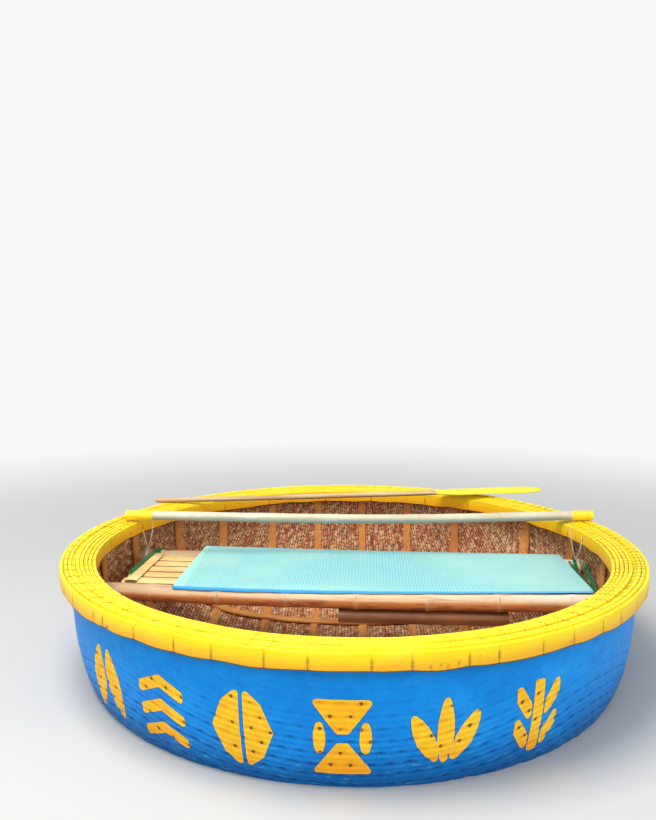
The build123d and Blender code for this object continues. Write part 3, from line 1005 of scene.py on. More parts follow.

# %% [markdown]
# ## Paint of the rim
# The laths carry thick yellow paint, bright on top and turning orange-brown towards the bottom of each
# lath. The bamboo's joints stay as brown lines. Painted shade makes the cracks between the laths olive
# and the inner faces orange, and draws a dark line along the bottom edges. All of this follows the
# lath's own map and the numbers kept on its vertices.

# %% Yellow paint
rim_paint, tree, shader = new_material("rim_paint", Roughness=0.38, IOR=1.45, Specular_IOR_Level=0.35)
here, lath = own_place(tree), map_place(tree, "lath")
joint, side, low = abs(attribute(tree, "joint")), attribute(tree, "side"), attribute(tree, "low")
streak = noise(lath, (5.0, 320.0, 1.0), 4.0, 0.62)
cloud = noise(here, 7.0, 5.0, 0.62)
fine = noise(lath, 140.0, 3.0, 0.6)
worn = noise(lath, (6.0, 40.0, 1.0), 4.0, 0.7)
down = band((cloud - 0.5) * 0.7 + low, 0.15, 0.95)
# Painted shade: olive in the cracks between laths, fainter where paint fills them and at the front.
crack_shade = band(side, 0.10, 0.26, 1.0, 0.0).math("MAXIMUM", band(side, 0.74, 0.90))
crack_shade = crack_shade * band(noise(lath, (9.0, 30.0, 1.0), 3.0, 0.6), 0.38, 0.62, 0.9, 0.10)
crack_shade = crack_shade * band(low, 0.10, 0.22, 1.0, 0.0) * band(part(here, "Y"), -0.95, 0.2, 0.10, 0.55)
stain = band(noise(lath, 26.0, 5.0, 0.7), 0.60, 0.68) * band(low, 0.3, 0.8)
speck = band(noise(lath, (60.0, 130.0, 1.0), 2.0, 0.5), 0.70, 0.76)
joint_line = band(worn * 3.0 + joint, 1.8, 3.2, 1.0, 0.0)
joint_stain = band(joint, 1.0, 8.0, 1.0, 0.0) * band(worn, 0.35, 0.7, 0.75, 0.0)
at_joint = joint_line.math("MAXIMUM", joint_stain) * band(low, 0.08, 0.6, 0.12, 1.0)
colour = layers(
    ramp(cloud, (0.25, (250, 214, 18)), (0.5, (255, 226, 22)), (0.75, (255, 236, 48))),
    (band(streak, 0.56, 0.72) * 0.35, (232, 182, 14)),
    (down * 0.78, (241, 158, 30)),
    # Painted shade: the inner face of each lath turns orange.
    (band(side, 0.03, 0.14, 0.38, 0.0), (240, 156, 20)),
    (crack_shade, (206, 180, 26)),
    (stain * 0.7, (130, 78, 24)),
    (speck * 0.75, (120, 90, 20)),
    (at_joint * 0.8, (140, 84, 30)),
    # Painted shadow: a dark line along the bottom edge of each lath.
    (band(low, 0.900, 0.930, 0.0, 0.88), (30, 40, 26)),
)
finish(shader, colour, streak * 1.2 + fine, 0.0007, band(fine, 0.3, 0.7, 0.32, 0.5))
for middle, top, mesh, replaced in laths:
    add_piece(mesh.name, mesh, replaced, "rim_paint", rim_paint)
print("material:", rim_paint.name)

# %% [markdown]
# ## Sewing of the rim
# Rows of dark line cross the rim about every 77 mm, and on the right side one more row comes between
# every two. Each row goes over every lath but the outermost and dips between them, so it is a bevelled
# curve of short runs. Only a few faces are used for each, because there are 107 rows.

# %% Rows of stitches
ROWS, EXTRA_ROWS = 86, range(-9, 12)


def thin_curve(name, kind, radius, resolution, runs):
    """One round curve with a spline for each list of points."""
    curve = bpy.data.curves.new(name, "CURVE")
    curve.dimensions = "3D"
    curve.bevel_depth = radius
    curve.bevel_resolution = resolution
    curve.use_fill_caps = True
    for points in runs:
        run = curve.splines.new(kind)
        run.points.add(len(points) - 1)
        for point, place in zip(run.points, points):
            point.co = (*place, 1)
        if kind == "NURBS":
            run.order_u = 3
            run.use_endpoint_u = True
            run.resolution_u = 4
    return curve


def row_turn(row):
    """Angle of a row, moved a little by chance."""
    return CIRCLE * (row + chance.uniform(-0.16, 0.16)) / ROWS


lath_tops = sorted(lath[:2] for lath in laths)
inner_middle, inner_top = lath_tops[0]
places = [(inner_middle - 0.0068, inner_top - 0.010), (inner_middle - 0.0058, inner_top - 0.0016)]
for (middle, top), (_, next_top) in zip(lath_tops, lath_tops[1:]):
    places += [(middle - 0.0028, top + 0.0005), (middle + 0.0028, top + 0.0005)]
    places += [(middle + LATH_PITCH / 2, min(top, next_top) - 0.0035)]
row_turns = [row_turn(row) for row in range(ROWS)] + [row_turn(row + 0.5) for row in EXTRA_ROWS]
rows = []
for turn in row_turns:
    slant = chance.uniform(-0.006, 0.006)
    points = []
    for radius, height in places:
        angle = turn + slant * (radius - 1.03) / 0.06 + chance.uniform(-0.0004, 0.0004)
        points.append((radius * math.cos(angle), radius * math.sin(angle), height))
    rows.append(points)
thread, tree, shader = new_material("dark_thread", Roughness=0.6)
here = own_place(tree)
to_right = part(here, "X")
bare = band(to_right, 0.35, 0.75, 0.0, 0.22).math("MAXIMUM", band(to_right, -0.85, -0.35, 0.26, 0.0))
tones = ((0.12, (92, 74, 24)), (0.30, (150, 122, 24)), (0.46, (218, 186, 26)), (0.58, (244, 214, 32)))
fill(shader.inputs["Base Color"], ramp(noise(here, 30.0) - bare, *tones))
stitches = thin_curve("rim_stitches", "POLY", 0.0010, 0, rows)
add_piece("rim_stitches", stitches, None, "rim_paint", thread)
print("stitch rows:", len(rows))

# %% [markdown]
# ## Bamboo poles
# A bamboo pole is a tube with raised joints. It is made as a straight unit tube by spinning a circle
# along a line, and then each line of the tube is laid along the pole's own bent axis, from wall to
# wall. Since every line ends where it meets the woven wall or a rib, the ends fit as if scribed by hand.

# %% Tubes along an axis
BENCH_TURN = math.radians(-2.8)
UP = np.array((0.0, 0.0, 1.0))
SKIN_DEPTH = 0.0008
JOINT_STEPS = (-0.012, -0.007, -0.0045, -0.0025, -0.001, 0.0005, 0.002, 0.004, 0.006, 0.009, 0.014)


def bench_to_boat(x, y, z):
    """From the bench's own turned plane to the boat; the numbers may be arrays."""
    c, s = math.cos(BENCH_TURN), math.sin(BENCH_TURN)
    return np.stack(np.broadcast_arrays(x * c - y * s, x * s + y * c, z), -1)


def tube(name, sides, rings):
    """A unit tube along X from 0 to 1 with closed ends, and each vertex's place and turn on it."""
    bm = bmesh.new()
    bmesh.ops.create_circle(bm, cap_ends=False, segments=sides, radius=1)
    upright(bm, bm.verts, "Y")
    circle, step = bm.edges[:] + bm.verts[:], (1 / rings, 0, 0)
    bmesh.ops.spin(bm, geom=circle, cent=(0, 0, 0), axis=(1, 0, 0), dvec=step, angle=0, steps=rings)
    bmesh.ops.holes_fill(bm, edges=bm.edges, sides=0)
    bmesh.ops.recalc_face_normals(bm, faces=bm.faces)
    mesh = to_mesh(bm, name)
    x, y, z = read_points(mesh).T
    return mesh, x, np.arctan2(z, y)


def jointed_tube(name, sides, joints, start, end, count):
    """A tube whose rings are close at the joints, and each vertex's share of the way and turn."""
    places = list(np.linspace(start, end, count))
    for joint in joints:
        places += [joint + step for step in JOINT_STEPS]
    places = np.array(sorted(place for place in places if start <= place <= end))
    last = len(places) - 1
    mesh, x, turn = tube(name, sides, last)
    ring = np.clip(np.round(x * last), 0, last).astype(int)
    return mesh, ((places - start) / (end - start))[ring], turn


def laid_out(axis, place, sideways, upwards):
    """Points beside an axis, which is a function of the distance along it."""
    centre, side, up = axis(place)
    return centre + side * sideways[:, None] + up * upwards[:, None]


def past_joint(place, joints):
    """Signed distance from the nearest joint."""
    return smallest(place[:, None] - np.array(joints)[None, :])


def joint_relief(along):
    """Height of a bamboo joint at a distance past it: a ridge, then the sheath's narrow scar."""
    made = 0
    for height, shift, width in (
        (0.0016, 0, 0.020), (0.0014, -0.003, 0.0030), (-0.0007, 0.0032, 0.0013), (0.0005, 0.0068, 0.0022),
    ):
        made = made + height * np.exp(-(((along - shift) / width) ** 2))
    return made


def culm(name, axis, radius, start, end, joints, sides=40, count=60, seed=1, ends=None, raised=1.0):
    """A bamboo pole along an axis; ends, if given, cuts each line to its own length."""
    mesh, share, turn = jointed_tube(name, sides, joints, start, end, count)
    low, high = ends(turn) if ends else (start, end)
    place = low + (high - low) * share
    along = past_joint(place, joints)
    pick = np.random.default_rng(seed)
    flute = pick.uniform(0, 6.28, len(joints) + 1)[np.searchsorted(np.array(joints), place)]
    groove = np.exp(-(((turn - flute + 3.14) % 6.28 - 3.14) ** 2) / 0.08)
    oval = 0.0005 * np.cos(2 * turn + flute) - 0.0009 * groove
    size = radius - SKIN_DEPTH + oval + raised * joint_relief(along)
    kink = np.interp(place, np.append(joints, end), pick.uniform(-0.001, 0.001, len(joints) + 1))
    write_points(mesh, laid_out(axis, place, np.cos(turn) * size + kink, np.sin(turn) * size))
    keep(mesh, joint=np.abs(along) * 1000)
    smooth(mesh, 60)
    return mesh


print("a joint stands out by", round(float(joint_relief(np.float64(0))) * 1000, 2), "mm")

# %% Front and rear poles of the bench
POLE_HEIGHT, POLE_RADIUS = 0.42, 0.034
FRONT_LINE, REAR_LINE, FRONT_BOW = -0.112, 0.338, 0.042
RIB_LINES = -0.680 + 0.259 * np.arange(6)
RIB_HALF_WIDTH, RIB_INSET, WALL_GAP = 0.0175, 0.0271, 0.0005
FURTHEST, HALVINGS = 1.2, 26
front_span = math.sqrt(HULL_RADIUS**2 - FRONT_LINE**2)
bow = (front_span**2 + FRONT_BOW**2) / (2 * FRONT_BOW)


def front_axis(place):
    """The front pole's bowed line."""
    reach = np.sqrt(bow**2 - place**2)
    centre = bench_to_boat(place, FRONT_LINE - reach + bow - FRONT_BOW, POLE_HEIGHT)
    return centre, bench_to_boat(-place / reach, 1.0, 0.0), UP


def bench_line(height, side, x=None, y=None):
    """The axis of a straight piece in the bench's plane, along X at a fixed y or along Y at a fixed x."""
    def axis(place):
        bench_x, bench_y = (place, y) if x is None else (x, place)
        return bench_to_boat(bench_x, bench_y, height), bench_to_boat(*side, 0.0), UP
    return axis


def scribed(axis, radius):
    """Ends of every line of a pole where it meets the woven wall or a rib lying on the wall."""
    def reach(turn, sign):
        sideways, upwards = np.cos(turn) * radius, np.sin(turn) * radius
        inside, outside = np.zeros(len(turn)), np.full(len(turn), FURTHEST * sign)
        for _ in range(HALVINGS):
            middle = (inside + outside) / 2
            x, y, z = laid_out(axis, np.clip(middle, -1.1, 1.1), sideways, upwards).T
            on_rib = np.min(np.abs(y[:, None] - RIB_LINES[None, :]), 1) < RIB_HALF_WIDTH
            clear = section_inset(np.hypot(x, y), z) > np.where(on_rib, RIB_INSET, WALL + WALL_GAP)
            inside, outside = np.where(clear, middle, inside), np.where(clear, outside, middle)
        return inside
    return lambda turn: [reach(turn, sign) for sign in (-1, 1)]


rear_axis = bench_line(POLE_HEIGHT, (0.0, 1.0), y=REAR_LINE)
front_ends, rear_ends = scribed(front_axis, POLE_RADIUS), scribed(rear_axis, POLE_RADIUS)
joints = (-0.985, -0.775, -0.506, -0.240, 0.028, 0.296, 0.562, 0.830)
front_pole = culm("bench_front_pole", front_axis, POLE_RADIUS, -1.05, 1.05, joints, 48, 70, 3, front_ends)
joints = (-0.900, -0.640, -0.350, -0.060, 0.230, 0.520, 0.800)
rear_pole = culm("bench_rear_pole", rear_axis, POLE_RADIUS, -1.02, 1.02, joints, 40, 60, 4, rear_ends)
print("poles:", len(front_pole.vertices), len(rear_pole.vertices))

# %% Crossbar
RIM_RADIUS, BAR_RADIUS, WRAP_RADIUS, BAR_SAG = 1.0993, 0.0205, 0.0223, 0.016
bar_start = np.array((0.0791 - math.sqrt(RIM_RADIUS**2 - 0.276**2), 0.276, 0.6388))
bar_end = np.array((math.sqrt(RIM_RADIUS**2 - 0.320**2) - 0.0027, 0.320, 0.6428))
bar_length = float(np.linalg.norm(bar_end - bar_start))
bar_way = (bar_end - bar_start) / bar_length
bar_side = np.cross((0, 0, 1), bar_way)
bar_side /= np.linalg.norm(bar_side)
bar_up = np.cross(bar_way, bar_side)


def bar_axis(place):
    """The bar's line, which sags a little in the middle."""
    sag = BAR_SAG * np.sin(math.pi * np.clip(place / bar_length, 0, 1) ** 1.1) ** 1.5
    return bar_start + place[:, None] * bar_way - sag[:, None] * bar_up, bar_side, bar_up


joints, start, end = (0.22, 0.58, 0.93, 1.28, 1.63, 1.93), 0.0005, bar_length - 0.0005
bar_mesh = culm("crossbar_culm", bar_axis, BAR_RADIUS, start, end, joints, 32, 50, 5, None, 0.35)
wraps = {}
for side, start, end in (("left", 0.0, 0.118), ("right", bar_length - 0.090, bar_length)):
    name = f"crossbar_wrap_{side}"
    wraps[side] = culm(name, bar_axis, WRAP_RADIUS, start, end, (start - 0.5,), 32, 14, 6)
print("crossbar", round(bar_length, 4), "m long")

# %% [markdown]
# ## Bamboo skin in the shader
# Old bamboo is pinkish tan, with dark streaks along it, small flecks, and a brown ring at each joint.
# On the poles, painted shade turns its lower side orange-brown and dark brown. One node group gives the
# streaks. The poles, slats and ribs use it with their own colours. The pattern's coordinates run along
# the piece.

# %% Bamboo materials
def bamboo(name, pale, middle, dark, along_turn, roughness, under=None):
    """Bamboo with the grain along X after a turn about Z; under is the colour of the painted shade on its
    lower side.
    """
    material, tree, shader = new_material(name, Roughness=roughness)
    grain = stretch(own_place(tree), (1, 1, 1), along_turn)
    fibre = use_group(tree, fibre_group, Place=grain)
    colour = layers(
        ramp(fibre["Cloud"], (0.3, middle), (0.62, pale)),
        (band(fibre["Streak"], 0.5, 0.72) * 0.6, dark),
        (band(fibre["Fleck"], 0.62, 0.74) * 0.5, dark),
    )
    if under is not None:
        facing_up_for_shade = fibre["Streak"] * 0.7 + facing_up(tree)
        mottle = noise(grain, (7.0, 34.0, 34.0), 4.0, 0.65)
        # Painted shade turns the lower side to the under colour and dark brown at the very bottom; dark
        # mottles lie on the lower side too.
        colour = layers(
            colour,
            (band(facing_up_for_shade, 0.30, 0.80, 0.92, 0.0), under),
            (band(facing_up_for_shade, 0.20, 0.80, 1.0, 0.0) * band(mottle, 0.48, 0.66, 0.0, 0.75), dark),
            (band(facing_up_for_shade, -0.65, 0.10, 0.85, 0.0), dark),
        )
    return material, tree, shader, colour, fibre


def finish_jointed(tree, shader, colour, fibre, line):
    """Pale bamboo and a dark ring at each joint, then the colour and the fibre's bump."""
    joint = abs(attribute(tree, "joint"))
    scar = band(abs(joint - 3.0), 0.4, 1.6, 1.0, 0.0) * band(fibre["Fleck"], 0.40, 0.60, 0.15, 1.0)
    at_joint = band(joint, 3.0, 9.0, 1.0, 0.0)
    colour = layers(colour, (at_joint * 0.30, (238, 214, 176)), (scar * 0.55, line))
    finish(shader, colour, fibre["Streak"], 0.0006)


pole_skin, tree, shader, colour, fibre = bamboo(
    "pole_bamboo", (236, 210, 174), (224, 182, 136), (122, 62, 30), -BENCH_TURN, 0.42, (208, 126, 62)
)
to_right, upward = part(own_place(tree), "X"), facing_up(tree)
colour = layers(
    colour,
    (band(to_right, -0.9, 0.3, 0.58, 0.0) * band(upward, 0.2, 0.8), (172, 122, 74)),
    (band(to_right, 0.2, 0.9, 0.0, 0.55) * band(upward, 0.3, 0.9), (246, 240, 228)),
)
finish_jointed(tree, shader, colour, fibre, (110, 62, 36))
slat_skin, tree, shader, colour, fibre = bamboo(
    "split_bamboo", (246, 218, 152), (236, 198, 126), (170, 112, 58), -BENCH_TURN, 0.5
)
each_slat = noise(own_place(tree), (0.6, 17.0, 1.0), 1.0, 0.5)
colour = layers(
    colour,
    (band(each_slat, 0.46, 0.60, 0.0, 0.40), (214, 160, 92)),
    # Darker sides and underside of each slat: painted shade in the gaps between slats, and the darker cut
    # edges of split bamboo.
    (band(facing_up(tree), 0.25, 0.75, 0.85, 0.0), (118, 76, 40)),
)
finish_jointed(tree, shader, colour, fibre, (140, 88, 44))
print("bamboo materials:", pole_skin.name, slat_skin.name)

# %% Skins without rings at the joints
def plain_bamboo(name, pale, middle, dark, along_turn, roughness=0.6):
    """Bamboo for pieces that keep no numbers for their joints."""
    material, tree, shader, colour, fibre = bamboo(name, pale, middle, dark, along_turn, roughness)
    finish(shader, colour, fibre["Streak"], 0.0006)
    return material


def dress(name, material):
    """Give a CAD node a material of its own."""
    for piece in bpy.data.objects:
        if piece.name == name or piece.name.startswith(name + "."):
            piece.data.materials.clear()
            piece.data.materials.append(material)


QUARTER = math.radians(90)
rib_tones = (230, 164, 92), (208, 130, 62), (132, 72, 34)
rung_tones = (214, 160, 96), (190, 128, 70), (100, 58, 30)
low_tones = (150, 96, 60), (112, 64, 38), (52, 26, 16)
floor_tones = (232, 196, 140), (214, 172, 112), (140, 96, 52)
for way, turn in (("along", QUARTER), ("across", 0.0)):
    skin = plain_bamboo(f"rib_bamboo_{way}", *rib_tones, turn)
    for number in range(1, 7):
        dress(f"rib_{way}_{number}", skin)
rung_skin = plain_bamboo("rung_bamboo", *rung_tones, QUARTER - BENCH_TURN)
for number in range(4):
    line = bench_line(POLE_HEIGHT, (1.0, 0.0), x=(number - 1.5) * 0.56)
    rung = culm(f"bench_rung_{number + 1}", line, 0.0130, -0.120, 0.345, (0.03, 0.21), 20, 10, 70 + number)
    add_piece(rung.name, rung, "bench_rungs", "pole_bamboo", rung_skin)
dress("bench_pole_low", plain_bamboo("low_pole_bamboo", *low_tones, -BENCH_TURN, 0.45))
dress("floor_slats", plain_bamboo("floor_bamboo", *floor_tones, QUARTER))
add_piece("bench_front_pole", front_pole, "bench_pole_front", "pole_bamboo", pole_skin)
add_piece("bench_rear_pole", rear_pole, "bench_pole_rear", "pole_bamboo", pole_skin)
print("poles, rungs, ribs and floor slats dressed")

# %% [markdown]
# ## Slats and end boards
# The bench's seat is split bamboo laid along it on the rungs. Each slat keeps the curve of its culm on
# top, has joints at its own places, and edges that wander a little. A slat starts as the same unit tube
# as a pole. Its round section is drawn out to a flat one, and it is laid along its line.

# %% Split bamboo strips
CROWN_RISE = 0.003


def squared(wave, power):
    """A sine or cosine pushed out towards the corners of a square by a power below 1."""
    return np.sign(wave) * np.abs(wave) ** power


def strip(name, axis, width, thickness, start, end, joints, seed, count=50):
    """A crowned strip along an axis: flat below, curved above, with joints and an uneven edge."""
    mesh, share, turn = jointed_tube(name, 24, joints, start, end, count)
    place = start + (end - start) * share
    across, over = squared(np.cos(turn), 0.36), squared(np.sin(turn), 0.36)
    along = past_joint(place, joints)
    relief = joint_relief(along)
    half = width / 2 - SKIN_DEPTH + wander(seed, 0.0011, place * 3, np.sign(across)) + 0.5 * relief
    top = thickness + CROWN_RISE * (1 - across**2) - 0.0012 + relief * 0.7
    middle = thickness / 2
    height = np.where(over > 0, middle + over * (top - middle), middle * (1 + over))
    write_points(mesh, laid_out(axis, place, across * half, height))
    keep(mesh, joint=np.abs(along) * 1000)
    smooth(mesh, 50)
    return mesh


SLAT_SEAT, BOARD_SEAT = POLE_HEIGHT + 0.0133, POLE_HEIGHT + 0.0236
BENCH_MIDDLE, SLAT_PITCH, BOARD_INSET, POLE_CLEAR = 0.113, 0.077, 0.040, 0.0361
half_slat = math.sqrt(1.045**2 - (BENCH_MIDDLE + 0.2065) ** 2) - 0.0754
for number, width in enumerate((0.070, 0.063, 0.070, 0.066, 0.071)):
    joints = np.sort(-0.9 + 0.29 * np.arange(7) + chance.uniform(-0.06, 0.06, 7))
    left, right = half_slat - chance.uniform(0.0, 0.004, 2)
    line = bench_line(SLAT_SEAT, (0.0, 1.0), y=BENCH_MIDDLE + (number - 2) * SLAT_PITCH)
    mesh = strip(f"bench_slat_{number + 1}", line, width, 0.007, -left, right, joints, 40 + number)
    add_piece(mesh.name, mesh, "bench_slats", "split_bamboo", slat_skin)
start, end = FRONT_LINE + POLE_CLEAR, REAR_LINE - POLE_CLEAR
for name, side, joints in (("left", -1, (0.02, 0.25)), ("right", 1, (-0.03, 0.17))):
    line = bench_line(BOARD_SEAT, (-1.0, 0.0), x=side * (half_slat - BOARD_INSET))
    mesh = strip(f"bench_end_strip_{name}", line, 0.052, 0.006, start, end, joints, 60, 16)
    add_piece(mesh.name, mesh, f"bench_end_{name}", "split_bamboo", slat_skin)
print("slats half length", round(half_slat, 4))

# %% [markdown]
# ## Crossbar paint
# The bar is bamboo under old pale paint, worn at the joints, and painted shade makes it grey-green
# below. Its ends are wrapped and painted yellow like the rim.

# %% Bar materials
def waves(place, direction, scale, distortion):
    """Even bands across a direction."""
    inputs = {"Vector": place, "Scale": scale, "Distortion": distortion}
    return put(place.tree, "TexWave", {"bands_direction": direction}, inputs, "Fac")


bar_paint, tree, shader = new_material("bar_paint", Roughness=0.45)
here = own_place(tree)
fibre = use_group(tree, fibre_group, Place=stretch(here, (1, 1, 1), -0.0215), Fine=1.2)
colour = layers(
    ramp(fibre["Cloud"], (0.3, (190, 182, 152)), (0.6, (216, 209, 186))),
    (band(fibre["Streak"], 0.55, 0.72) * 0.5, (160, 158, 138)),
    # Painted shade: grey-green on the lower side.
    (band(facing_up(tree), -0.55, 0.35, 0.75, 0.0), (146, 150, 148)),
    (band(abs(attribute(tree, "joint")), 2.0, 8.0, 0.16, 0.0), (150, 142, 118)),
    (band(noise(here, 14.0, 4.0, 0.7), 0.66, 0.72) * 0.7, (96, 84, 60)),
)
finish(shader, colour, fibre["Streak"], 0.0005)
add_piece("crossbar_culm", bar_mesh, "crossbar", "bar_paint", bar_paint)

wrap_paint, tree, shader = new_material("wrap_paint", Roughness=0.4)
here = own_place(tree)
cloud = noise(here, 16.0, 4.0, 0.6)
colour = layers(
    ramp(cloud, (0.3, (250, 206, 22)), (0.6, (255, 230, 48))),
    (band(noise(here, 50.0, 3.0, 0.7), 0.6, 0.7, 0.0, 0.6), (190, 130, 20)),
)
finish(shader, colour, waves(here, "X", 90.0, 1.2) * 0.6 + cloud, 0.0008)
for side, mesh in wraps.items():
    add_piece(mesh.name, mesh, f"crossbar_sleeve_{side}", "rim_paint", wrap_paint)
print("bar and wraps:", bar_mesh.name, [mesh.name for mesh in wraps.values()])

# %% [markdown]
# ## Foam mat
# The mat is a thin foam sheet with fine ribs that run from front to rear. It lies on the poles and sags
# a little between them, and its front edge hangs over the front pole. It starts as a grid with six
# steps to a rib and gets its thickness from an extrusion. Its corners are rounded by moving the outline.

# %% Ribbed slab
MAT_MIDDLE, MAT_LENGTH, MAT_DEPTH, MAT_LOW, MAT_HIGH = 0.119, 1.598, 0.538, 0.4561, 0.4651
MAT_RIBS, MAT_DROOP, MAT_SAG, VALLEY_DEPTH = 128, 0.038, 0.0008, 0.0012


def quarter_round(share):
    """Height of a rounded edge, from 0 at the edge to 1 where the curve ends."""
    return np.sqrt(share * (2 - share))


bm = bmesh.new()
bmesh.ops.create_grid(bm, x_segments=MAT_RIBS * 6, y_segments=18, size=0.5)
thickened(bm)
mat_mesh = to_mesh(bm, "bench_foam_mat")
points = read_points(mat_mesh)
x, y, upper = points[:, 0] * 2, points[:, 1] * 2, points[:, 2] > 0.5
from_side = MAT_LENGTH / 2 - np.abs(x) * MAT_LENGTH / 2
corner = np.where((x > 0) & (y > 0), 0.030, 0.007)
past_corner = np.clip(corner - from_side, 0, corner)
pull = corner - np.sqrt(np.maximum(0, corner**2 - past_corner**2))
to_edge = np.minimum(from_side, (1 - np.abs(y)) * (MAT_DEPTH / 2 - pull))
valley = 1 - np.abs(np.sin(x * 0.5 * math.pi * MAT_RIBS))
rounded = quarter_round(np.clip(to_edge / 0.006, 0, 1))
boat_x = MAT_MIDDLE + x * MAT_LENGTH / 2
front_edge = -0.1746 - 0.0294 * boat_x + 0.0553 * boat_x**2
rear_edge = 0.3878 - 0.0600 * boat_x + 0.0230 * boat_x**2
wave = 0.0006 * np.sin(x * 31) * (np.abs(y) > 0.9)
boat_y = (front_edge + rear_edge) / 2 + y * ((rear_edge - front_edge) / 2 - pull) + wave
pole_line = -0.154 + FRONT_BOW * (boat_x / 1.05) ** 2 + boat_x * math.tan(BENCH_TURN)
past_pole = np.clip(pole_line - boat_y, 0, 0.030)
droop = MAT_DROOP - np.sqrt(MAT_DROOP**2 - past_pole**2)
top_height = MAT_LOW + (MAT_HIGH - MAT_LOW) * (0.35 + 0.65 * rounded)
top_height -= VALLEY_DEPTH * valley * np.clip(to_edge / 0.004, 0, 1)
top_height -= MAT_SAG * np.clip(1 - y**2, 0, 1) + 0.0002
height = np.where(upper, top_height, MAT_LOW + 0.0022 * (1 - rounded))
write_points(mat_mesh, boat_x + 0.013 * y * (1 - x) / 2, boat_y, height - droop)
keep(mat_mesh, front=(1 + y) * MAT_DEPTH * 500, valley=valley, level=(height - MAT_LOW) * 1000)
smooth(mat_mesh, 70)
foam, tree, shader = new_material("mat_foam", Roughness=0.75)
here = own_place(tree)
to_right = part(here, "X")
valley_shade_patches = band(noise(here, 1.9, 2.0, 0.5), 0.42, 0.60, 0.10, 0.62)
at_front = band(attribute(tree, "front"), 9.0, 18.0, 0.95, 0.0)
tones = (0.3, (140, 200, 200)), (0.55, (154, 208, 202)), (0.8, (168, 214, 206))
colour = layers(
    ramp(noise(here, 4.0, 4.0, 0.6), *tones),
    # Painted shade in the valleys between the ribs, stronger in patches.
    (attribute(tree, "valley") * valley_shade_patches, (40, 170, 214)),
    (band(to_right, -0.665, -0.635, 0.75, 0.0), (170, 244, 214)),
    (band(to_right, 0.1, 0.75, 0.0, 0.2), (204, 250, 244)),
    (at_front * band(to_right, -0.2, 0.9, 1.0, 0.7), (26, 156, 230)),
    # Painted shadow: dark teal along the low edges and underside of the mat.
    (band(attribute(tree, "level"), 0.9, 3.4, 0.9, 0.0), (12, 84, 104)),
)
finish(shader, colour, noise(here, 420.0, 2.0, 0.6), 0.0004)
mat_piece = add_piece("bench_foam_mat", mat_mesh, "bench_mat", "mat_foam", foam)
print("mat vertices:", len(mat_mesh.vertices))

# %% [markdown]
# ## Paddle
# The paddle is one more tube along a straight axis. Its section changes on the way from a round shaft
# to a flat blade with soft edges, which stays wide almost to its round tip. Bare wood grain runs along
# the shaft, and the blade has worn yellow paint that ends in an uneven line.

# %% Paddle blade and shaft
PADDLE_TURN, PADDLE_LENGTH, PADDLE_START = math.radians(8.17), 1.9286, (-0.94398, 0.606, 0.6323)
BLADE_START, TIP_START, SHAFT_RADIUS, TIP_RISE = 1.31, 1.815, 0.012, 0.013
paddle_mesh, x, turn = tube("paddle_carved", 28, 110)
place = x * PADDLE_LENGTH
flat = np.clip((place - BLADE_START) / 0.20, 0, 1)
flat = flat * flat * (3 - 2 * flat)
tip = np.clip((place - TIP_START) / (PADDLE_LENGTH - TIP_START), 0, 1)
grip = 0.4 + 0.6 * np.sqrt(1 - np.clip(1 - place / 0.008, 0, 1) ** 2)
outline = np.sqrt(1 - tip**2.4) * (1 - 0.03 * np.sin(place * 9)) * grip
half_width = (SHAFT_RADIUS + 0.054 * flat) * outline
half_thick = (SHAFT_RADIUS - 0.0062 * flat) * (1 - 0.35 * tip) * grip
power = 1 - 0.45 * flat
sideways = squared(np.cos(turn), power) * half_width
rise = TIP_RISE * x**2 + squared(np.sin(turn), power) * half_thick
c, s = math.cos(PADDLE_TURN), math.sin(PADDLE_TURN)
start_x, start_y, start_z = PADDLE_START
write_points(
    paddle_mesh, start_x + place * c - sideways * s, start_y + place * s + sideways * c, start_z + rise
)
smooth(paddle_mesh, 60)
print("paddle vertices:", len(paddle_mesh.vertices))

# %% Paddle finish
paddle_wood, tree, shader = new_material("paddle_wood", Roughness=0.5)
grain = stretch(own_place(tree), (1, 1, 1), -PADDLE_TURN)
fibre = use_group(tree, fibre_group, Place=grain)
tones = (0.3, (172, 126, 84)), (0.55, (208, 176, 130)), (0.75, (228, 204, 160))
wood = layers(
    ramp(fibre["Streak"], *tones),
    # Painted shade: darker brown on the lower side.
    (band(facing_up(tree), -0.5, 0.2, 0.6, 0.0), (140, 88, 50)),
)
paint = layers(
    ramp(fibre["Cloud"], (0.3, (250, 222, 14)), (0.6, (253, 242, 26))),
    (band(fibre["Fleck"], 0.60, 0.68) * 0.7, (176, 120, 60)),
)
paint_line = (fibre["Cloud"] - 0.5) * 0.05 + part(grain, "X")
finish(shader, mix(band(paint_line, 0.522, 0.528), wood, paint), fibre["Streak"], 0.0006)
add_piece("paddle_carved", paddle_mesh, "paddle", "paddle_wood", paddle_wood, body="paddle")
print("paddle dressed")

# %% [markdown]
# ## Ties
# White cord holds the bench's rear pole to the rim at both ends, and green cord is wound along the ends
# of the bench. These short ties are pulled tight between fixed points, so they are plain curves. Each
# is either a straight run or a winding round the rear pole.

# %% Tight ties
def wound(place, radius, turns, pitch, start, sides=10):
    """Points of a winding round the rear pole at a place along it."""
    share = np.arange(int(turns * sides) + 1) / sides
    angle = start + CIRCLE * share
    return laid_out(rear_axis, place + pitch * share, np.cos(angle) * radius, np.sin(angle) * radius)


def tie(name, radius, pale, dark, runs):
    """Cord of one colour, with its twist in bands, as one curve with many runs."""
    material, tree, shader = new_material(f"{name}_twine", Roughness=0.7)
    twist = waves(own_place(tree), "DIAGONAL", 300.0, 0.5)
    finish(shader, mix(twist, dark, pale), twist, 0.0006)
    curve = thin_curve(f"tie_{name}", "NURBS", radius, 2, runs)
    add_piece(curve.name, curve, None, "pole_bamboo", material)


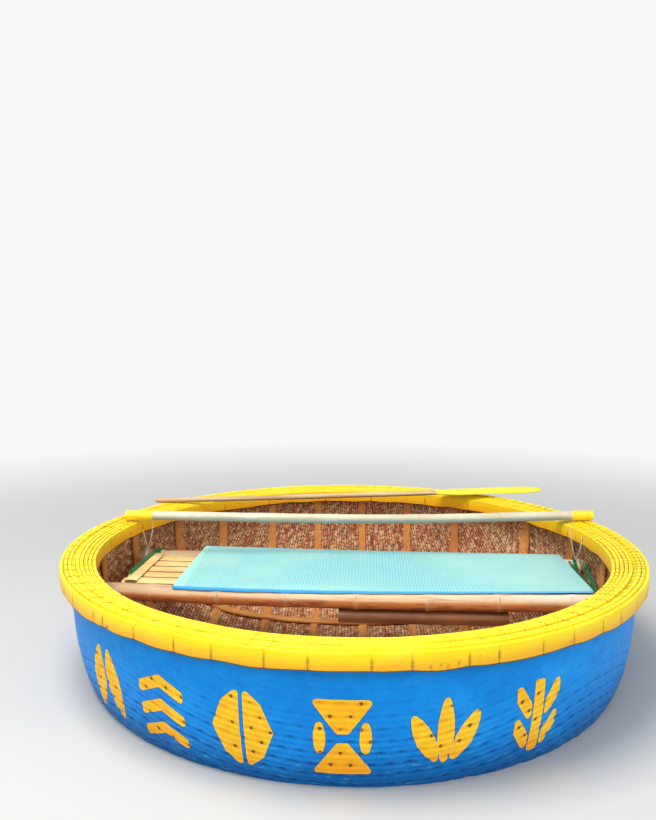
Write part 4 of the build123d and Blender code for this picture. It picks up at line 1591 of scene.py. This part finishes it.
left_low, right_low = (-0.925, 0.395, 0.4545), (0.972, 0.283, 0.4565)
tie("white", 0.0023, (255, 253, 248), (250, 238, 226), [
    [(-0.868, 0.2795, 0.6165), (-0.880, 0.313, 0.57), (-0.900, 0.353, 0.51), left_low],
    [(-0.923, 0.311, 0.564), (-0.9235, 0.337, 0.53), (-0.9245, 0.368, 0.49), left_low],
    [(0.9385, 0.246, 0.608), (0.939, 0.249, 0.56), (0.956, 0.268, 0.50), right_low],
    [(0.958, 0.155, 0.593), (0.9575, 0.159, 0.555), (0.966, 0.22, 0.50), right_low],
    wound(-0.945, 0.0362, 3.0, 0.0035, 1.2),
    wound(0.970, 0.0362, 1.2, 0.0035, 1.2),
])
left_runs = [
    [(-0.906, 0.032, 0.4545), (-0.900, 0.12, 0.4565), (-0.893, 0.22, 0.4565), (-0.884, 0.32, 0.4575),
     (-0.878, 0.39, 0.4610), (-0.85, 0.385, 0.4585), (-0.816, 0.372, 0.4575)],
    [(-0.900, 0.034, 0.4545), (-0.893, 0.15, 0.4565), (-0.886, 0.25, 0.4565), (-0.878, 0.345, 0.4600)],
    [(-0.911, 0.05, 0.4560), (-0.903, 0.16, 0.4600), (-0.896, 0.26, 0.4600), (-0.888, 0.36, 0.4610),
     (-0.87, 0.397, 0.4580)],
]
right_runs = [
    [(0.984, 0.26, 0.4570), (0.966, 0.16, 0.4570), (0.950, 0.03, 0.4570), (0.938, -0.10, 0.4570),
     (0.93, -0.14, 0.4560)],
]
for s in (0.010, 0.019, 0.031):
    right_runs.append([(0.984 + s, 0.25, 0.4560), (0.970 + s, 0.15, 0.446 - s / 3)])
    right_runs[-1] += [(0.954 + s / 2, 0.02, 0.449), (0.940, -0.11, 0.4550)]
for s in (0.0, 0.007):
    right_runs.append([(0.931 + s, 0.245, 0.4590), (0.928 + s, 0.19, 0.4560), (0.925 + s, 0.10, 0.4555)])
    right_runs[-1] += [(0.924 + s, -0.04, 0.4555), (0.922 + s, -0.13, 0.4545)]
windings = [wound(-0.895, 0.0366, 4.0, 0.0052, 0.6), wound(0.945, 0.0366, 3.0, 0.0052, 0.6)]
tie("green", 0.0025, (26, 150, 88), (6, 84, 52), left_runs + right_runs + windings)
